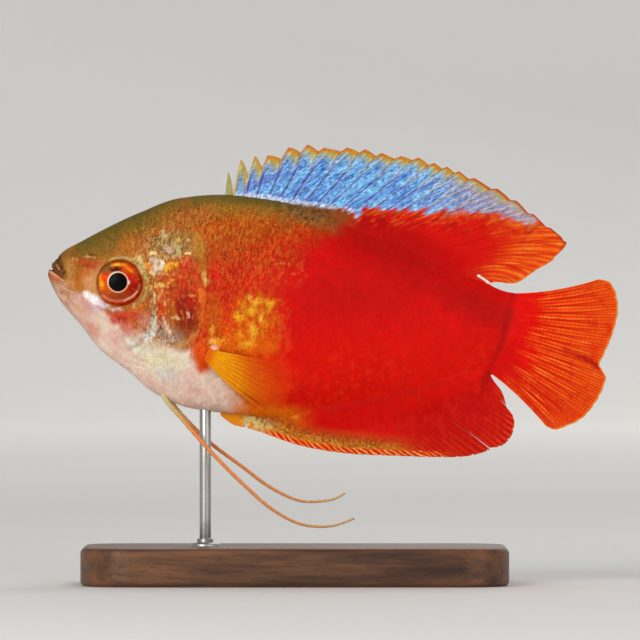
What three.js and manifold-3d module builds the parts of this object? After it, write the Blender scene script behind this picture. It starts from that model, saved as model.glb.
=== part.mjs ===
// A male red dwarf gourami seen in profile, life size, on a small display stand.
// Sizes are in millimetres. The head points towards -X, the left flank faces -Y and +Z is up.
// The origin is the middle of the whole model's length and width, at the underside of the stand.

import * as THREE from 'three';
import { mergeVertices } from 'three/addons/utils/BufferGeometryUtils.js';
import Module from 'manifold-3d';

const wasm = await Module();
wasm.setup();

// Driving sizes.
const SNOUT_X = -37.5;
const BODY_END_X = 25;
const BODY_STATIONS = 33;
const RING_POINTS = 24;
const STATION_CROWDING = 1.7;
const GAP = 0.3;
const FAR = 90;

const EYE_X = -28.1;
const EYE_Z = 39.5;
const EYE_RADIUS = 3.1;
const EYE_HALF_DEPTH = 1.9;
const EYE_SINK = 0.75;

const GILL_PLATE_THICKNESS = 1.3;

const RAY_HALF_THICKNESS = 0.42;
const MEMBRANE_HALF_THICKNESS = 0.26;
const TAIL_ROOT_HALF_THICKNESS = 1.0;
const FIN_ROWS = 4;

const FEELER_ROOT_RADIUS = 0.36;
const FEELER_TIP_RADIUS = 0.26;
const FEELER_STEPS = 18;
const FEELER_SIDES = 8;

const ROD_X = -16.8;
const ROD_RADIUS = 0.75;
const ROD_INTO_BODY = 3;
const ROD_INTO_BASE = 3;
const BASE_X = -5;
const BASE_LENGTH = 56;
const BASE_WIDTH = 32;
const BASE_HEIGHT = 5;
const BASE_CORNER = 7;
const BASE_BEVEL = 0.7;
const CORNER_STEPS = 5;
const ROUND_SIDES = 20;

const mix = (a, b, t) => a + (b - a) * t;
const mixPair = (a, b, t) => [mix(a[0], b[0], t), mix(a[1], b[1], t)];
const clamp01 = (t) => Math.min(1, Math.max(0, t));

// A smooth height or width over x that never overshoots its points.
// The square root of the distance from the snout is used, so the snout comes out blunt.
function profile(points) {
  const reach = (x) => Math.sqrt(Math.max(0, x - SNOUT_X));
  const at = points.map((p) => reach(p[0]));
  const value = points.map((p) => p[1]);
  const rise = at.slice(1).map((a, i) => (value[i + 1] - value[i]) / (a - at[i]));
  const slope = value.map((_, i) => {
    if (i === 0) return rise[0];
    if (i === rise.length) return rise[i - 1];
    if (rise[i - 1] * rise[i] <= 0) return 0;
    return (2 * rise[i - 1] * rise[i]) / (rise[i - 1] + rise[i]);
  });
  return (x) => {
    const a = Math.min(Math.max(reach(x), at[0]), at[at.length - 1]);
    let i = 0;
    while (i < rise.length - 1 && a > at[i + 1]) i += 1;
    const span = at[i + 1] - at[i];
    const t = (a - at[i]) / span;
    const stay = 1 - t;
    const near = value[i] * (1 + 2 * t) + slope[i] * span * t;
    const far = value[i + 1] * (1 + 2 * stay) - slope[i + 1] * span * stay;
    return near * stay * stay + far * t * t;
  };
}

// The body's outlines over x: its back, its belly, its half breadth and the height where it is widest.
const back = profile([
  [-37.5, 40.8], [-37, 41.9], [-36.4, 42.9], [-35.3, 44], [-33.3, 45.1], [-30.7, 46.5],
  [-25.4, 49], [-20.1, 50.9], [-15, 51.35], [-9.6, 50.9], [-1.7, 49.5], [6.2, 47.3],
  [14.1, 43.6], [19.3, 40.4], [21.4, 39.1], [23, 38.55], [25, 38.3],
]);
const belly = profile([
  [-37.5, 40.8], [-37.3, 39.9], [-36.8, 38.8], [-35.9, 37.2], [-33.3, 34.1], [-30.7, 30.8],
  [-26.7, 27.7], [-24.1, 25.4], [-21.7, 24.1], [-19.5, 23.2], [-16.8, 22.7], [-12.2, 22.2],
  [-4, 21.6], [2.2, 22.1], [10.1, 23.8], [17.9, 26.3], [20.3, 27.1], [22, 28.2], [25, 29.5],
]);
const flank = profile([
  [-37.5, 0], [-37.2, 0.6], [-35.9, 1.5], [-33.3, 2.6], [-30.7, 3.35], [-28, 3.9], [-24.1, 4.6],
  [-20.1, 5], [-14.9, 5.25], [-9.6, 5.2], [-4.3, 4.9], [2.2, 4.25], [8.8, 3.4], [15.4, 2.5],
  [19.3, 1.9], [22.6, 1.35], [25, 1],
]);
const waist = profile([
  [-37.5, 40.8], [-35.9, 40.2], [-28, 39.8], [-22, 38.5], [-16, 37.2], [-8, 36.6], [0, 36],
  [10, 35], [18, 34.2], [25, 34],
]);

// How sharply a cross-section closes above and below: 1 is an ellipse, more is a ridge.
const crest = profile([[-37.5, 1], [-30, 0.9], [-22, 1.1], [-14, 1.25], [0, 1.3], [25, 1.25]]);
const keel = profile([[-37.5, 1], [-30, 1.1], [-22, 1.1], [-16, 1], [-5, 1.2], [10, 1.35], [25, 1.2]]);

// One point of the body's surface, set in from the flank by inset. turn runs round the section.
function skinPoint(x, turn, inset) {
  const lift = Math.sin(turn);
  const out = Math.cos(turn);
  const power = lift > 0 ? crest(x) : keel(x);
  const breadth = Math.max(flank(x) - inset, flank(x) * 0.05);
  const reach = lift > 0 ? back(x) - waist(x) : waist(x) - belly(x);
  return [x, -Math.sign(out) * breadth * Math.abs(out) ** power, waist(x) + reach * lift];
}

// The half breadth of the body at a height z.
function halfBreadth(x, z) {
  const above = z > waist(x);
  const reach = above ? back(x) - waist(x) : waist(x) - belly(x);
  const lift = Math.min(1, Math.abs(z - waist(x)) / reach);
  return flank(x) * (1 - lift * lift) ** ((above ? crest(x) : keel(x)) / 2);
}

// The height of the body's underside at a distance y from the middle.
function underside(x, y) {
  const out = (Math.abs(y) / flank(x)) ** (1 / keel(x));
  return waist(x) - (waist(x) - belly(x)) * Math.sqrt(1 - out * out);
}

// A closed geometry from points and triangles, turned so that it faces outwards.
function closedGeometry(points, triangles) {
  const corner = (i) => new THREE.Vector3(...points[i]);
  let volume = 0;
  for (const [a, b, c] of triangles) {
    volume += corner(a).dot(corner(b).cross(corner(c)));
  }
  const order = volume > 0 ? triangles : triangles.map(([a, b, c]) => [a, c, b]);
  const geometry = new THREE.BufferGeometry();
  geometry.setAttribute('position', new THREE.Float32BufferAttribute(points.flat(), 3));
  geometry.setIndex(order.flat());
  return geometry;
}

// Rings of equal size joined one to the next, closed by a point at each end.
function ringLoft(rings, firstPoint, lastPoint) {
  const count = rings[0].length;
  const points = [firstPoint, ...rings.flat(), lastPoint];
  const last = points.length - 1;
  const triangles = [];
  for (let i = 0; i < count; i += 1) {
    const j = (i + 1) % count;
    triangles.push([0, 1 + i, 1 + j]);
    for (let k = 0; k < rings.length - 1; k += 1) {
      const here = 1 + k * count;
      const next = here + count;
      triangles.push([here + i, next + i, next + j], [here + i, next + j, here + j]);
    }
    const end = last - count;
    triangles.push([end + i, last, end + j]);
  }
  return closedGeometry(points, triangles);
}

function bodyLoft(inset) {
  const rings = [];
  for (let k = 1; k <= BODY_STATIONS; k += 1) {
    const x = mix(SNOUT_X, BODY_END_X, (k / BODY_STATIONS) ** STATION_CROWDING);
    const ring = [];
    for (let i = 0; i < RING_POINTS; i += 1) {
      ring.push(skinPoint(x, -Math.PI / 2 + (i / RING_POINTS) * 2 * Math.PI, inset));
    }
    rings.push(ring);
  }
  return ringLoft(rings, [SNOUT_X, 0, back(SNOUT_X)], [BODY_END_X, 0, waist(BODY_END_X)]);
}

// A flat outline of [x, z] corners, drawn out along Y.
function prism(outline, yLow, yHigh) {
  const flat = outline.map((p) => new THREE.Vector2(...p));
  const faces = THREE.ShapeUtils.triangulateShape(flat, []);
  const count = outline.length;
  const points = [yLow, yHigh].flatMap((y) => outline.map(([x, z]) => [x, y, z]));
  const triangles = [];
  for (const [a, b, c] of faces) {
    triangles.push([a, b, c], [a + count, c + count, b + count]);
  }
  const clockwise = THREE.ShapeUtils.isClockWise(flat);
  for (let i = 0; i < count; i += 1) {
    const j = (i + 1) % count;
    const [from, to] = clockwise ? [j, i] : [i, j];
    triangles.push([to, from, from + count], [to, from + count, to + count]);
  }
  return closedGeometry(points, triangles);
}

// An open line moved sideways, and a closed outline made larger all round.
function shift(line, distance) {
  return line.map(([x, z], i) => {
    const [ax, az] = line[Math.max(0, i - 1)];
    const [bx, bz] = line[Math.min(line.length - 1, i + 1)];
    const length = Math.hypot(bx - ax, bz - az);
    return [x + (distance * (bz - az)) / length, z - (distance * (bx - ax)) / length];
  });
}
function grow(outline, distance) {
  const count = outline.length;
  const flat = outline.map((p) => new THREE.Vector2(...p));
  const side = THREE.ShapeUtils.isClockWise(flat) ? -distance : distance;
  return outline.map(([x, z], i) => {
    const [ax, az] = outline[(i + count - 1) % count];
    const [bx, bz] = outline[(i + 1) % count];
    const length = Math.hypot(bx - ax, bz - az);
    return [x + (side * (bz - az)) / length, z - (side * (bx - ax)) / length];
  });
}

function solid(geometry) {
  const bare = geometry.clone();
  bare.deleteAttribute('normal');
  bare.deleteAttribute('uv');
  const merged = mergeVertices(bare, 1e-5);
  const mesh = new wasm.Mesh({
    numProp: 3,
    vertProperties: new Float32Array(merged.attributes.position.array),
    triVerts: new Uint32Array(merged.index.array),
  });
  return new wasm.Manifold(mesh);
}

function geometryOf(manifold) {
  const mesh = manifold.getMesh();
  const geometry = new THREE.BufferGeometry();
  geometry.setAttribute('position', new THREE.BufferAttribute(mesh.vertProperties, 3));
  geometry.setIndex(new THREE.BufferAttribute(mesh.triVerts, 1));
  return geometry;
}

// The lines where the body's named parts meet, as [x, z] from top to bottom.
const SHOULDER = [
  [-19.8, FAR], [-19.6, 52], [-18.2, 48.5], [-17.1, 45.8], [-16.4, 42.5], [-16.5, 38.7],
  [-16.8, 34.5], [-18, 31.7], [-20, 30.4], [-22.8, 29], [-26, 26.2], [-28.5, 22], [-28.5, -FAR],
];
const TAIL_SEAM = [[14.6, FAR], [14, 36], [13.4, -FAR]];
const CREASE = [
  [25.2, FAR], [24.4, 40], [23.7, 37], [22.5, 33.2], [21.7, 29.9], [20.5, 27.6], [19, 25.4], [19, -FAR],
];
const LOWER_JAW = [
  [-39, 42.9], [-37.2, 41.6], [-36.6, 41.1], [-35.7, 40.4], [-34.9, 40], [-34.8, 38.7],
  [-33.3, 38], [-32.6, 36.4], [-33.3, 34.6], [-35.5, 31.5], [-42, 34],
];
const GILL_COVER = [
  [-20.4, 46], [-22.4, 45], [-23.6, 42.6], [-24, 39.5], [-23.8, 36], [-24.2, 33.4], [-25.2, 31.2],
  [-23, 29.3], [-20.1, 30.7], [-18.1, 32], [-17, 34.7], [-16.7, 38.7], [-16.6, 42.5], [-17.3, 45.7],
];

const beforeLine = (line) => prism([...shift(line, GAP / 2), [-FAR, -FAR], [-FAR, FAR]], -FAR, FAR);
const behindLine = (line) => prism([...shift(line, -GAP / 2), [FAR, -FAR], [FAR, FAR]], -FAR, FAR);

const body = solid(bodyLoft(0));
const underGillCover = solid(bodyLoft(GILL_PLATE_THICKNESS));
const gillPocketFloor = solid(bodyLoft(GILL_PLATE_THICKNESS + GAP));
const wholeHead = body.intersect(solid(beforeLine(SHOULDER)));

function eyeGeometry(clearance) {
  const ball = new THREE.SphereGeometry(1, ROUND_SIDES, ROUND_SIDES / 2);
  return ball.scale(EYE_RADIUS + clearance, EYE_HALF_DEPTH + clearance, EYE_RADIUS + clearance);
}
const eyeY = halfBreadth(EYE_X, EYE_Z) - EYE_SINK;

function headSolid() {
  let head = wholeHead.subtract(solid(prism(grow(LOWER_JAW, GAP), -FAR, FAR)));
  const pocket = solid(prism(grow(GILL_COVER, GAP), -FAR, FAR)).subtract(gillPocketFloor);
  head = head.subtract(pocket);
  for (const side of [-1, 1]) {
    head = head.subtract(solid(eyeGeometry(GAP).translate(EYE_X, side * eyeY, EYE_Z)));
  }
  return head;
}

function gillCoverSolid(side) {
  const region = side < 0 ? prism(GILL_COVER, -FAR, 0) : prism(GILL_COVER, 0, FAR);
  return wholeHead.intersect(solid(region)).subtract(underGillCover);
}

function trunkSolid() {
  const socketTop = belly(ROD_X) + ROD_INTO_BODY + GAP;
  const socket = new THREE.CylinderGeometry(ROD_RADIUS + GAP, ROD_RADIUS + GAP, socketTop, ROUND_SIDES);
  socket.rotateX(Math.PI / 2).translate(ROD_X, 0, socketTop / 2);
  const trunk = body.intersect(solid(behindLine(SHOULDER))).intersect(solid(beforeLine(TAIL_SEAM)));
  return trunk.subtract(solid(socket));
}

function tailStalkSolid() {
  return body.intersect(solid(behindLine(TAIL_SEAM))).intersect(solid(beforeLine(CREASE)));
}

// A fin as a row of rays with membranes between them, closed all round.
// Each ray has a foot and a tip as [x, z]. A membrane's edge is drawn in by notch.
// bend(ray share, length share) moves the points, level(x, length share) gives the middle's y.
function fin({ rays, notch, bend, level, halfThickness }) {
  const columns = [];
  rays.forEach((ray, i) => {
    const share = i / (rays.length - 1);
    columns.push({ ...ray, share, bone: 1 });
    if (i === rays.length - 1) return;
    const foot = mixPair(ray.foot, rays[i + 1].foot, 0.5);
    const edge = mixPair(ray.tip, rays[i + 1].tip, 0.5);
    columns.push({ foot, tip: mixPair(edge, foot, notch(i)), share: share + 0.5 / rays.length, bone: 0 });
  });
  const sheet = (side) => columns.flatMap((column) => {
    const line = [];
    for (let k = 0; k <= FIN_ROWS; k += 1) {
      const v = k / FIN_ROWS;
      const [x, z] = mixPair(column.foot, column.tip, v);
      const [dx, dz] = bend(column.share, v);
      line.push([x + dx, level(x + dx, v) + side * halfThickness(column.bone, v), z + dz]);
    }
    return line;
  });
  const points = [...sheet(-1), ...sheet(1)];
  const rowLength = FIN_ROWS + 1;
  const half = columns.length * rowLength;
  const triangles = [];
  const quad = (a, b, c, d) => triangles.push([a, b, c], [a, c, d]);
  for (let i = 0; i < columns.length - 1; i += 1) {
    const here = i * rowLength;
    const next = here + rowLength;
    for (let k = 0; k < FIN_ROWS; k += 1) {
      quad(here + k, next + k, next + k + 1, here + k + 1);
      quad(half + here + k, half + here + k + 1, half + next + k + 1, half + next + k);
    }
    quad(here, half + here, half + next, next);
    quad(here + FIN_ROWS, next + FIN_ROWS, half + next + FIN_ROWS, half + here + FIN_ROWS);
  }
  const lastColumn = half - rowLength;
  for (let k = 0; k < FIN_ROWS; k += 1) {
    quad(k, k + 1, half + k + 1, half + k);
    quad(lastColumn + k, half + lastColumn + k, half + lastColumn + k + 1, lastColumn + k + 1);
  }
  return closedGeometry(points, triangles);
}

const straight = () => [0, 0];
const inMiddle = () => 0;
const thinOut = (bone, v) => mix(MEMBRANE_HALF_THICKNESS, RAY_HALF_THICKNESS, bone * (1 - 0.7 * v));

// Points at equal steps of length along a smooth line through a few [x, z] points.
function along(line, count) {
  const curve = new THREE.SplineCurve(line.map((p) => new THREE.Vector2(...p)));
  return curve.getSpacedPoints(count - 1).map((p) => [p.x, p.y]);
}

// Dorsal fin: spines first, then soft rays that sweep back past the tail's root.
const DORSAL_SPINE_TIPS = [
  [-13.8, 54.3], [-12.2, 55.8], [-10.3, 56.3], [-8.6, 56.4], [-5.9, 57.4], [-3.4, 57.8],
  [-1.2, 57.4], [1.8, 57.4], [4.2, 57.2], [6.4, 56.7], [8.9, 56.3], [11.2, 56.1],
  [13.3, 55.4], [15, 54.9], [16.6, 54.3], [18.6, 53.4],
];
const DORSAL_SOFT_EDGE = [
  [21.6, 52], [24.6, 50.1], [27.2, 48], [29.6, 46.1], [30.6, 44.8], [28.8, 42.8], [26.2, 41.2],
  [23.4, 39.9], [21, 40],
];
const DORSAL_START_X = -14.1;
const DORSAL_END_X = 18.8;
const DORSAL_SOFT_RAYS = 9;
const DORSAL_SWEEP_FROM = 0.6;
const DORSAL_SWEEP = 0.55;

function dorsalFin() {
  const tips = [...DORSAL_SPINE_TIPS, ...along(DORSAL_SOFT_EDGE, DORSAL_SOFT_RAYS)];
  const rays = tips.map((tip, i) => {
    const share = i / (tips.length - 1);
    const x = mix(DORSAL_START_X, DORSAL_END_X, share ** 1.08);
    return { foot: [x, back(x) + GAP], tip };
  });
  const notch = (i) => {
    if (i === 0) return 0.75;
    return i < 3 ? 0.24 : mix(0.12, 0.02, clamp01(i / tips.length));
  };
  const sweep = (share) => Math.sin(Math.PI * clamp01((share - DORSAL_SWEEP_FROM) / (1 - DORSAL_SWEEP_FROM)));
  const bend = (share, v) => [0, DORSAL_SWEEP * sweep(share) * 4 * v * (1 - v)];
  return fin({ rays, notch, bend, level: inMiddle, halfThickness: thinOut });
}

// Anal fin: a low front, a deep rear cut by two slits.
const ANAL_EDGE = [
  [-14, 21.5], [-12.6, 20.9], [-9.3, 19.9], [-4.3, 18.2], [1.6, 17.2], [7.5, 16.9], [13.4, 16.7],
  [17.4, 16.8], [19.9, 17.5],
];
const ANAL_REAR_EDGE = [[20.1, 17.9], [22.2, 18.1], [23.6, 19.8], [23.8, 21.8], [22.9, 23.4]];
const ANAL_LAST_EDGE = [[22.7, 23.9], [22.2, 25.4], [21, 26.8]];
const ANAL_START_X = -14.5;
const ANAL_END_X = 20.2;
const ANAL_FRONT_RAYS = 19;
const ANAL_REAR_RAYS = 6;
const ANAL_LAST_RAYS = 3;

function analFin() {
  const tips = [
    ...along(ANAL_EDGE, ANAL_FRONT_RAYS),
    ...along(ANAL_REAR_EDGE, ANAL_REAR_RAYS),
    ...along(ANAL_LAST_EDGE, ANAL_LAST_RAYS),
  ];
  const rays = tips.map((tip, i) => {
    const x = mix(ANAL_START_X, ANAL_END_X, (i / (tips.length - 1)) ** 0.92);
    return { foot: [x, belly(x) - GAP], tip };
  });
  const longSlit = ANAL_FRONT_RAYS - 1;
  const shortSlit = ANAL_FRONT_RAYS + ANAL_REAR_RAYS - 1;
  const notch = (i) => {
    if (i === longSlit) return 0.34;
    return i === shortSlit ? 0.3 : 0.05;
  };
  return fin({ rays, notch, bend: straight, level: inMiddle, halfThickness: thinOut });
}

// Tail fin: rays fan out from the crease at the body's end, with one shallow notch in the edge.
const TAIL_FOOT = [[24.6, 38.3], [23.6, 35.4], [22.7, 32.4], [21.9, 29.6], [20.9, 27.4]];
const TAIL_UPPER_EDGE = [[34.9, 40.1], [36.5, 39.7], [37.3, 38.1], [37.5, 35.7], [36.7, 32.6], [35.1, 29]];
const TAIL_LOWER_EDGE = [
  [35.2, 28.5], [35.9, 27], [34.7, 24.1], [32.8, 21.8], [30.8, 20.8], [28.9, 20.2], [28.1, 20.7],
];
const TAIL_UPPER_RAYS = 10;
const TAIL_LOWER_RAYS = 10;
const TAIL_EDGE_SAG = 0.45;

function tailFin() {
  const tips = [...along(TAIL_UPPER_EDGE, TAIL_UPPER_RAYS), ...along(TAIL_LOWER_EDGE, TAIL_LOWER_RAYS)];
  const feet = along(TAIL_FOOT, tips.length);
  const rays = tips.map((tip, i) => ({ foot: feet[i], tip }));
  const notch = (i) => (i === TAIL_UPPER_RAYS - 1 ? 0.03 : 0.015);
  const bend = (share, v) => [0, mix(-TAIL_EDGE_SAG, TAIL_EDGE_SAG, share) * 4 * v * (1 - v)];
  const halfThickness = (bone, v) => {
    const thickRoot = TAIL_ROOT_HALF_THICKNESS * (1 - clamp01(v / 0.3)) ** 1.5;
    return Math.max(thickRoot, thinOut(bone, v));
  };
  return fin({ rays, notch, bend, level: inMiddle, halfThickness });
}

// Pectoral fin: a clear fan that lies back along the flank from a short fleshy root.
const PECTORAL_FOOT = [[-16.3, 30.9], [-16.9, 29.6]];
const PECTORAL_EDGE = [[-5.7, 29.2], [-5.2, 27.8], [-5.5, 25.8], [-6, 24.3], [-7, 22.9], [-8.4, 22]];
const PECTORAL_RAYS = 10;
const PECTORAL_LEAN = 1.5;
const PECTORAL_SAG = 0.5;
const pectoralRoot = new THREE.Vector3(-16.6, halfBreadth(-16.6, 30.2) + GAP + 0.5, 30.2);

function pectoralFin(side) {
  const feet = along(PECTORAL_FOOT, PECTORAL_RAYS);
  const rays = along(PECTORAL_EDGE, PECTORAL_RAYS).map((tip, i) => ({ foot: feet[i], tip }));
  const bend = (share, v) => [0, -PECTORAL_SAG * share * 4 * v * (1 - v)];
  const level = (x, v) => side * (pectoralRoot.y + PECTORAL_LEAN * v);
  const geometry = fin({ rays, notch: () => 0.03, bend, level, halfThickness: thinOut });
  return geometry.translate(-pectoralRoot.x, -side * pectoralRoot.y, -pectoralRoot.z);
}

// Pelvic feelers: one long thin ray on each side, sweeping down, back and up at the tip.
const LEFT_FEELER = [
  [-21.8, 24, -1], [-19.9, 21.8, -1.4], [-15.9, 17.3, -2.4], [-11.9, 13.3, -3], [-8.1, 10, -3.3],
  [-4.3, 8, -3.4], [-0.4, 7.7, -3.3], [2.8, 8.7, -3.2],
];
const RIGHT_FEELER = [
  [-21.3, 24, 1], [-19.6, 21.9, 1.5], [-16.1, 18.5, 2.5], [-12.1, 15.5, 3.1], [-8.3, 12.7, 3.5],
  [-4.3, 10.9, 3.6], [-0.4, 11, 3.5], [1.6, 11.9, 3.4],
];

function feeler(line) {
  const path = line.map(([x, z, y]) => new THREE.Vector3(x, y, z));
  path[0].z = underside(path[0].x, path[0].y) - GAP - FEELER_ROOT_RADIUS / 2;
  const curve = new THREE.CatmullRomCurve3(path, false, 'centripetal');
  const rings = [];
  for (let k = 0; k <= FEELER_STEPS; k += 1) {
    const t = k / FEELER_STEPS;
    const middle = curve.getPointAt(t);
    const ahead = curve.getTangentAt(t);
    const across = new THREE.Vector3(0, 1, 0).cross(ahead).normalize();
    const aside = new THREE.Vector3().crossVectors(ahead, across);
    const radius = mix(FEELER_ROOT_RADIUS, FEELER_TIP_RADIUS, Math.sqrt(t));
    const ring = [];
    for (let i = 0; i < FEELER_SIDES; i += 1) {
      const turn = (i / FEELER_SIDES) * 2 * Math.PI;
      const point = middle.clone();
      point.addScaledVector(across, radius * Math.cos(turn)).addScaledVector(aside, radius * Math.sin(turn));
      ring.push(point.toArray());
    }
    rings.push(ring);
  }
  return ringLoft(rings, curve.getPointAt(0).toArray(), curve.getPointAt(1).toArray());
}

// The stand: a rounded wooden block with a blind hole, and one thin rod up to the belly.
function standBase() {
  const inset = BASE_BEVEL;
  const halfLength = BASE_LENGTH / 2 - inset;
  const halfWidth = BASE_WIDTH / 2 - inset;
  const radius = BASE_CORNER - inset;
  const shape = new THREE.Shape();
  shape.absarc(halfLength - radius, halfWidth - radius, radius, 0, Math.PI / 2);
  shape.absarc(radius - halfLength, halfWidth - radius, radius, Math.PI / 2, Math.PI);
  shape.absarc(radius - halfLength, radius - halfWidth, radius, Math.PI, 1.5 * Math.PI);
  shape.absarc(halfLength - radius, radius - halfWidth, radius, 1.5 * Math.PI, 2 * Math.PI);
  const block = new THREE.ExtrudeGeometry(shape, {
    depth: BASE_HEIGHT - 2 * inset,
    bevelThickness: inset,
    bevelSize: inset,
    bevelSegments: 1,
    curveSegments: CORNER_STEPS,
  });
  block.translate(0, 0, inset);
  const holeRadius = ROD_RADIUS + GAP;
  const hole = new THREE.CylinderGeometry(holeRadius, holeRadius, 2 * (ROD_INTO_BASE + GAP), ROUND_SIDES);
  hole.rotateX(Math.PI / 2).translate(ROD_X - BASE_X, 0, BASE_HEIGHT);
  return geometryOf(solid(block).subtract(solid(hole)));
}

const rodLow = BASE_HEIGHT - ROD_INTO_BASE;
const rodHigh = belly(ROD_X) + ROD_INTO_BODY;
function standRod() {
  const rod = new THREE.CylinderGeometry(ROD_RADIUS, ROD_RADIUS, rodHigh - rodLow, ROUND_SIDES);
  return rod.rotateX(Math.PI / 2);
}

// The finished model.
const model = new THREE.Group();
model.name = 'dwarf_gourami';

function add(parent, name, geometry, color, roughness, metalness, at = [0, 0, 0]) {
  const bare = geometry.clone();
  bare.deleteAttribute('normal');
  bare.deleteAttribute('uv');
  const welded = mergeVertices(bare, 1e-5);
  welded.computeVertexNormals();
  const material = new THREE.MeshStandardMaterial({ color, roughness, metalness });
  const mesh = new THREE.Mesh(welded, material);
  mesh.name = name;
  mesh.position.set(...at);
  parent.add(mesh);
}

const fish = new THREE.Group();
fish.name = 'fish';
model.add(fish);
const stand = new THREE.Group();
stand.name = 'stand';
model.add(stand);

add(fish, 'head', geometryOf(headSolid()), 0xa8603a, 0.45, 0);
add(fish, 'lower_jaw', geometryOf(wholeHead.intersect(solid(prism(LOWER_JAW, -FAR, FAR)))), 0xd9b8a6, 0.45, 0);
add(fish, 'gill_cover_left', geometryOf(gillCoverSolid(-1)), 0xb4471f, 0.4, 0);
add(fish, 'gill_cover_right', geometryOf(gillCoverSolid(1)), 0xb4471f, 0.4, 0);
add(fish, 'trunk', geometryOf(trunkSolid()), 0xd0301a, 0.4, 0);
add(fish, 'tail_stalk', geometryOf(tailStalkSolid()), 0xd01812, 0.4, 0);
add(fish, 'eye_left', eyeGeometry(0), 0xb8401c, 0.15, 0, [EYE_X, -eyeY, EYE_Z]);
add(fish, 'eye_right', eyeGeometry(0), 0xb8401c, 0.15, 0, [EYE_X, eyeY, EYE_Z]);
add(fish, 'dorsal_fin', dorsalFin(), 0x6d9fd6, 0.4, 0);
add(fish, 'anal_fin', analFin(), 0xc82a14, 0.4, 0);
add(fish, 'caudal_fin', tailFin(), 0xe04a12, 0.4, 0);
add(fish, 'pectoral_fin_left', pectoralFin(-1), 0xe87820, 0.35, 0, [
  pectoralRoot.x, -pectoralRoot.y, pectoralRoot.z,
]);
add(fish, 'pectoral_fin_right', pectoralFin(1), 0xe87820, 0.35, 0, pectoralRoot.toArray());
add(fish, 'pelvic_feeler_left', feeler(LEFT_FEELER), 0xd98a4a, 0.45, 0);
add(fish, 'pelvic_feeler_right', feeler(RIGHT_FEELER), 0xd98a4a, 0.45, 0);
add(stand, 'stand_base', standBase(), 0x4a2f1e, 0.5, 0, [BASE_X, 0, 0]);
add(stand, 'stand_rod', standRod(), 0xb8b8b4, 0.3, 1, [ROD_X, 0, (rodLow + rodHigh) / 2]);

export default model;
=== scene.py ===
"""A male red dwarf gourami in profile, life size, on a small wooden stand.

The fish is worked out in millimetres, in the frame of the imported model: the snout points to -X, the left
flank faces -Y and +Z is up. Meshes are scaled to metres as they are made.
"""

import bpy
import numpy as np
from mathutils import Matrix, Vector


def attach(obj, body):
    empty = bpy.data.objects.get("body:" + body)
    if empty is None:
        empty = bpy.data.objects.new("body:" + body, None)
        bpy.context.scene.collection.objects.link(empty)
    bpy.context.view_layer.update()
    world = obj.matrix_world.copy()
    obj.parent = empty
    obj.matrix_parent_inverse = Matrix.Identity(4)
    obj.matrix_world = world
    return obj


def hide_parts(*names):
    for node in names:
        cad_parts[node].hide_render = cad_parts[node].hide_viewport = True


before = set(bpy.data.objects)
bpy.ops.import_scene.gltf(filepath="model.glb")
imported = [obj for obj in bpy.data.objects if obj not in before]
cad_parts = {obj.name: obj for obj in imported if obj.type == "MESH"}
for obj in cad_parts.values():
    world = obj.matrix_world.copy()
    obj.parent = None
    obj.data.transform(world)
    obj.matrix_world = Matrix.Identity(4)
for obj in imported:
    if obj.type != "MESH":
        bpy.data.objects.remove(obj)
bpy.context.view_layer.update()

MM = 0.001
SEED = 20
draw = np.random.default_rng(SEED)

NOISE_CELLS = 32
NOISE_TABLE = draw.random(NOISE_CELLS**3).astype(np.float32)

# The body's driving sizes, in millimetres. The eye's middle and the pupil's shift from it are [x, z].
SNOUT_X = -37.5
SKIN_END_X = 27.5
EYE = np.array([-27.93, 39.55])
PUPIL_SHIFT = np.array([-0.26, 0.16])
EYE_RADIUS = 2.98
SCALE_DEPTH = 0.12


def profile(*points):
    """A smooth value over x that never overshoots its points and comes out blunt at the snout."""
    at = np.sqrt([p[0] - SNOUT_X for p in points])
    value = np.array([p[1] for p in points], float)
    rise = np.diff(value) / np.diff(at)
    inner = [0 if a * b <= 0 else 2 * a * b / (a + b) for a, b in zip(rise, rise[1:])]
    slope = np.array([rise[0], *inner, rise[-1]])

    def f(x):
        a = np.sqrt(np.maximum(0, np.asarray(x, float) - SNOUT_X)).clip(at[0], at[-1])
        i = (np.searchsorted(at, a) - 1).clip(0, len(rise) - 1)
        span = at[i + 1] - at[i]
        t = (a - at[i]) / span
        s = 1 - t
        before = (value[i] * (1 + 2 * t) + slope[i] * span * t) * s * s
        return before + (value[i + 1] * (1 + 2 * s) - slope[i + 1] * span * s) * t * t

    return f


back = profile((-37.5, 40.8), (-37, 41.9), (-36.4, 42.9), (-35.3, 44), (-33.3, 45.1), (-30.7, 46.5),
               (-25.4, 49), (-20.1, 50.9), (-15, 51.35), (-9.6, 50.9), (-1.7, 49.5), (6.2, 47.3),
               (14.1, 43.6), (19.3, 40.4), (21.4, 39.1), (23, 38.55), (25, 38.3), (27.5, 38.2))
belly = profile((-37.5, 40.8), (-37.3, 39.9), (-36.8, 38.8), (-35.9, 37.2), (-33.3, 34.1), (-30.7, 30.8),
                (-26.7, 27.7), (-24.1, 25.4), (-21.7, 24.1), (-19.5, 23.2), (-16.8, 22.7), (-12.2, 22.2),
                (-4, 21.6), (2.2, 22.1), (10.1, 23.8), (17.9, 26.3), (20.3, 27.1), (22, 28.2), (25, 29.5),
                (27.5, 30.5))
flank = profile((-37.5, 0), (-37.2, 0.6), (-35.9, 1.5), (-33.3, 2.6), (-30.7, 3.35), (-28, 3.9),
                (-24.1, 4.6), (-20.1, 5), (-14.9, 5.25), (-9.6, 5.2), (-4.3, 4.9), (2.2, 4.25), (8.8, 3.4),
                (15.4, 2.5), (19.3, 1.9), (22.6, 1.3), (25, 0.75), (27.5, 0.28))
waist = profile((-37.5, 40.8), (-35.9, 40.2), (-28, 39.8), (-22, 38.5), (-16, 37.2), (-8, 36.6), (0, 36),
                (10, 35), (18, 34.2), (27.5, 34))
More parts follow.
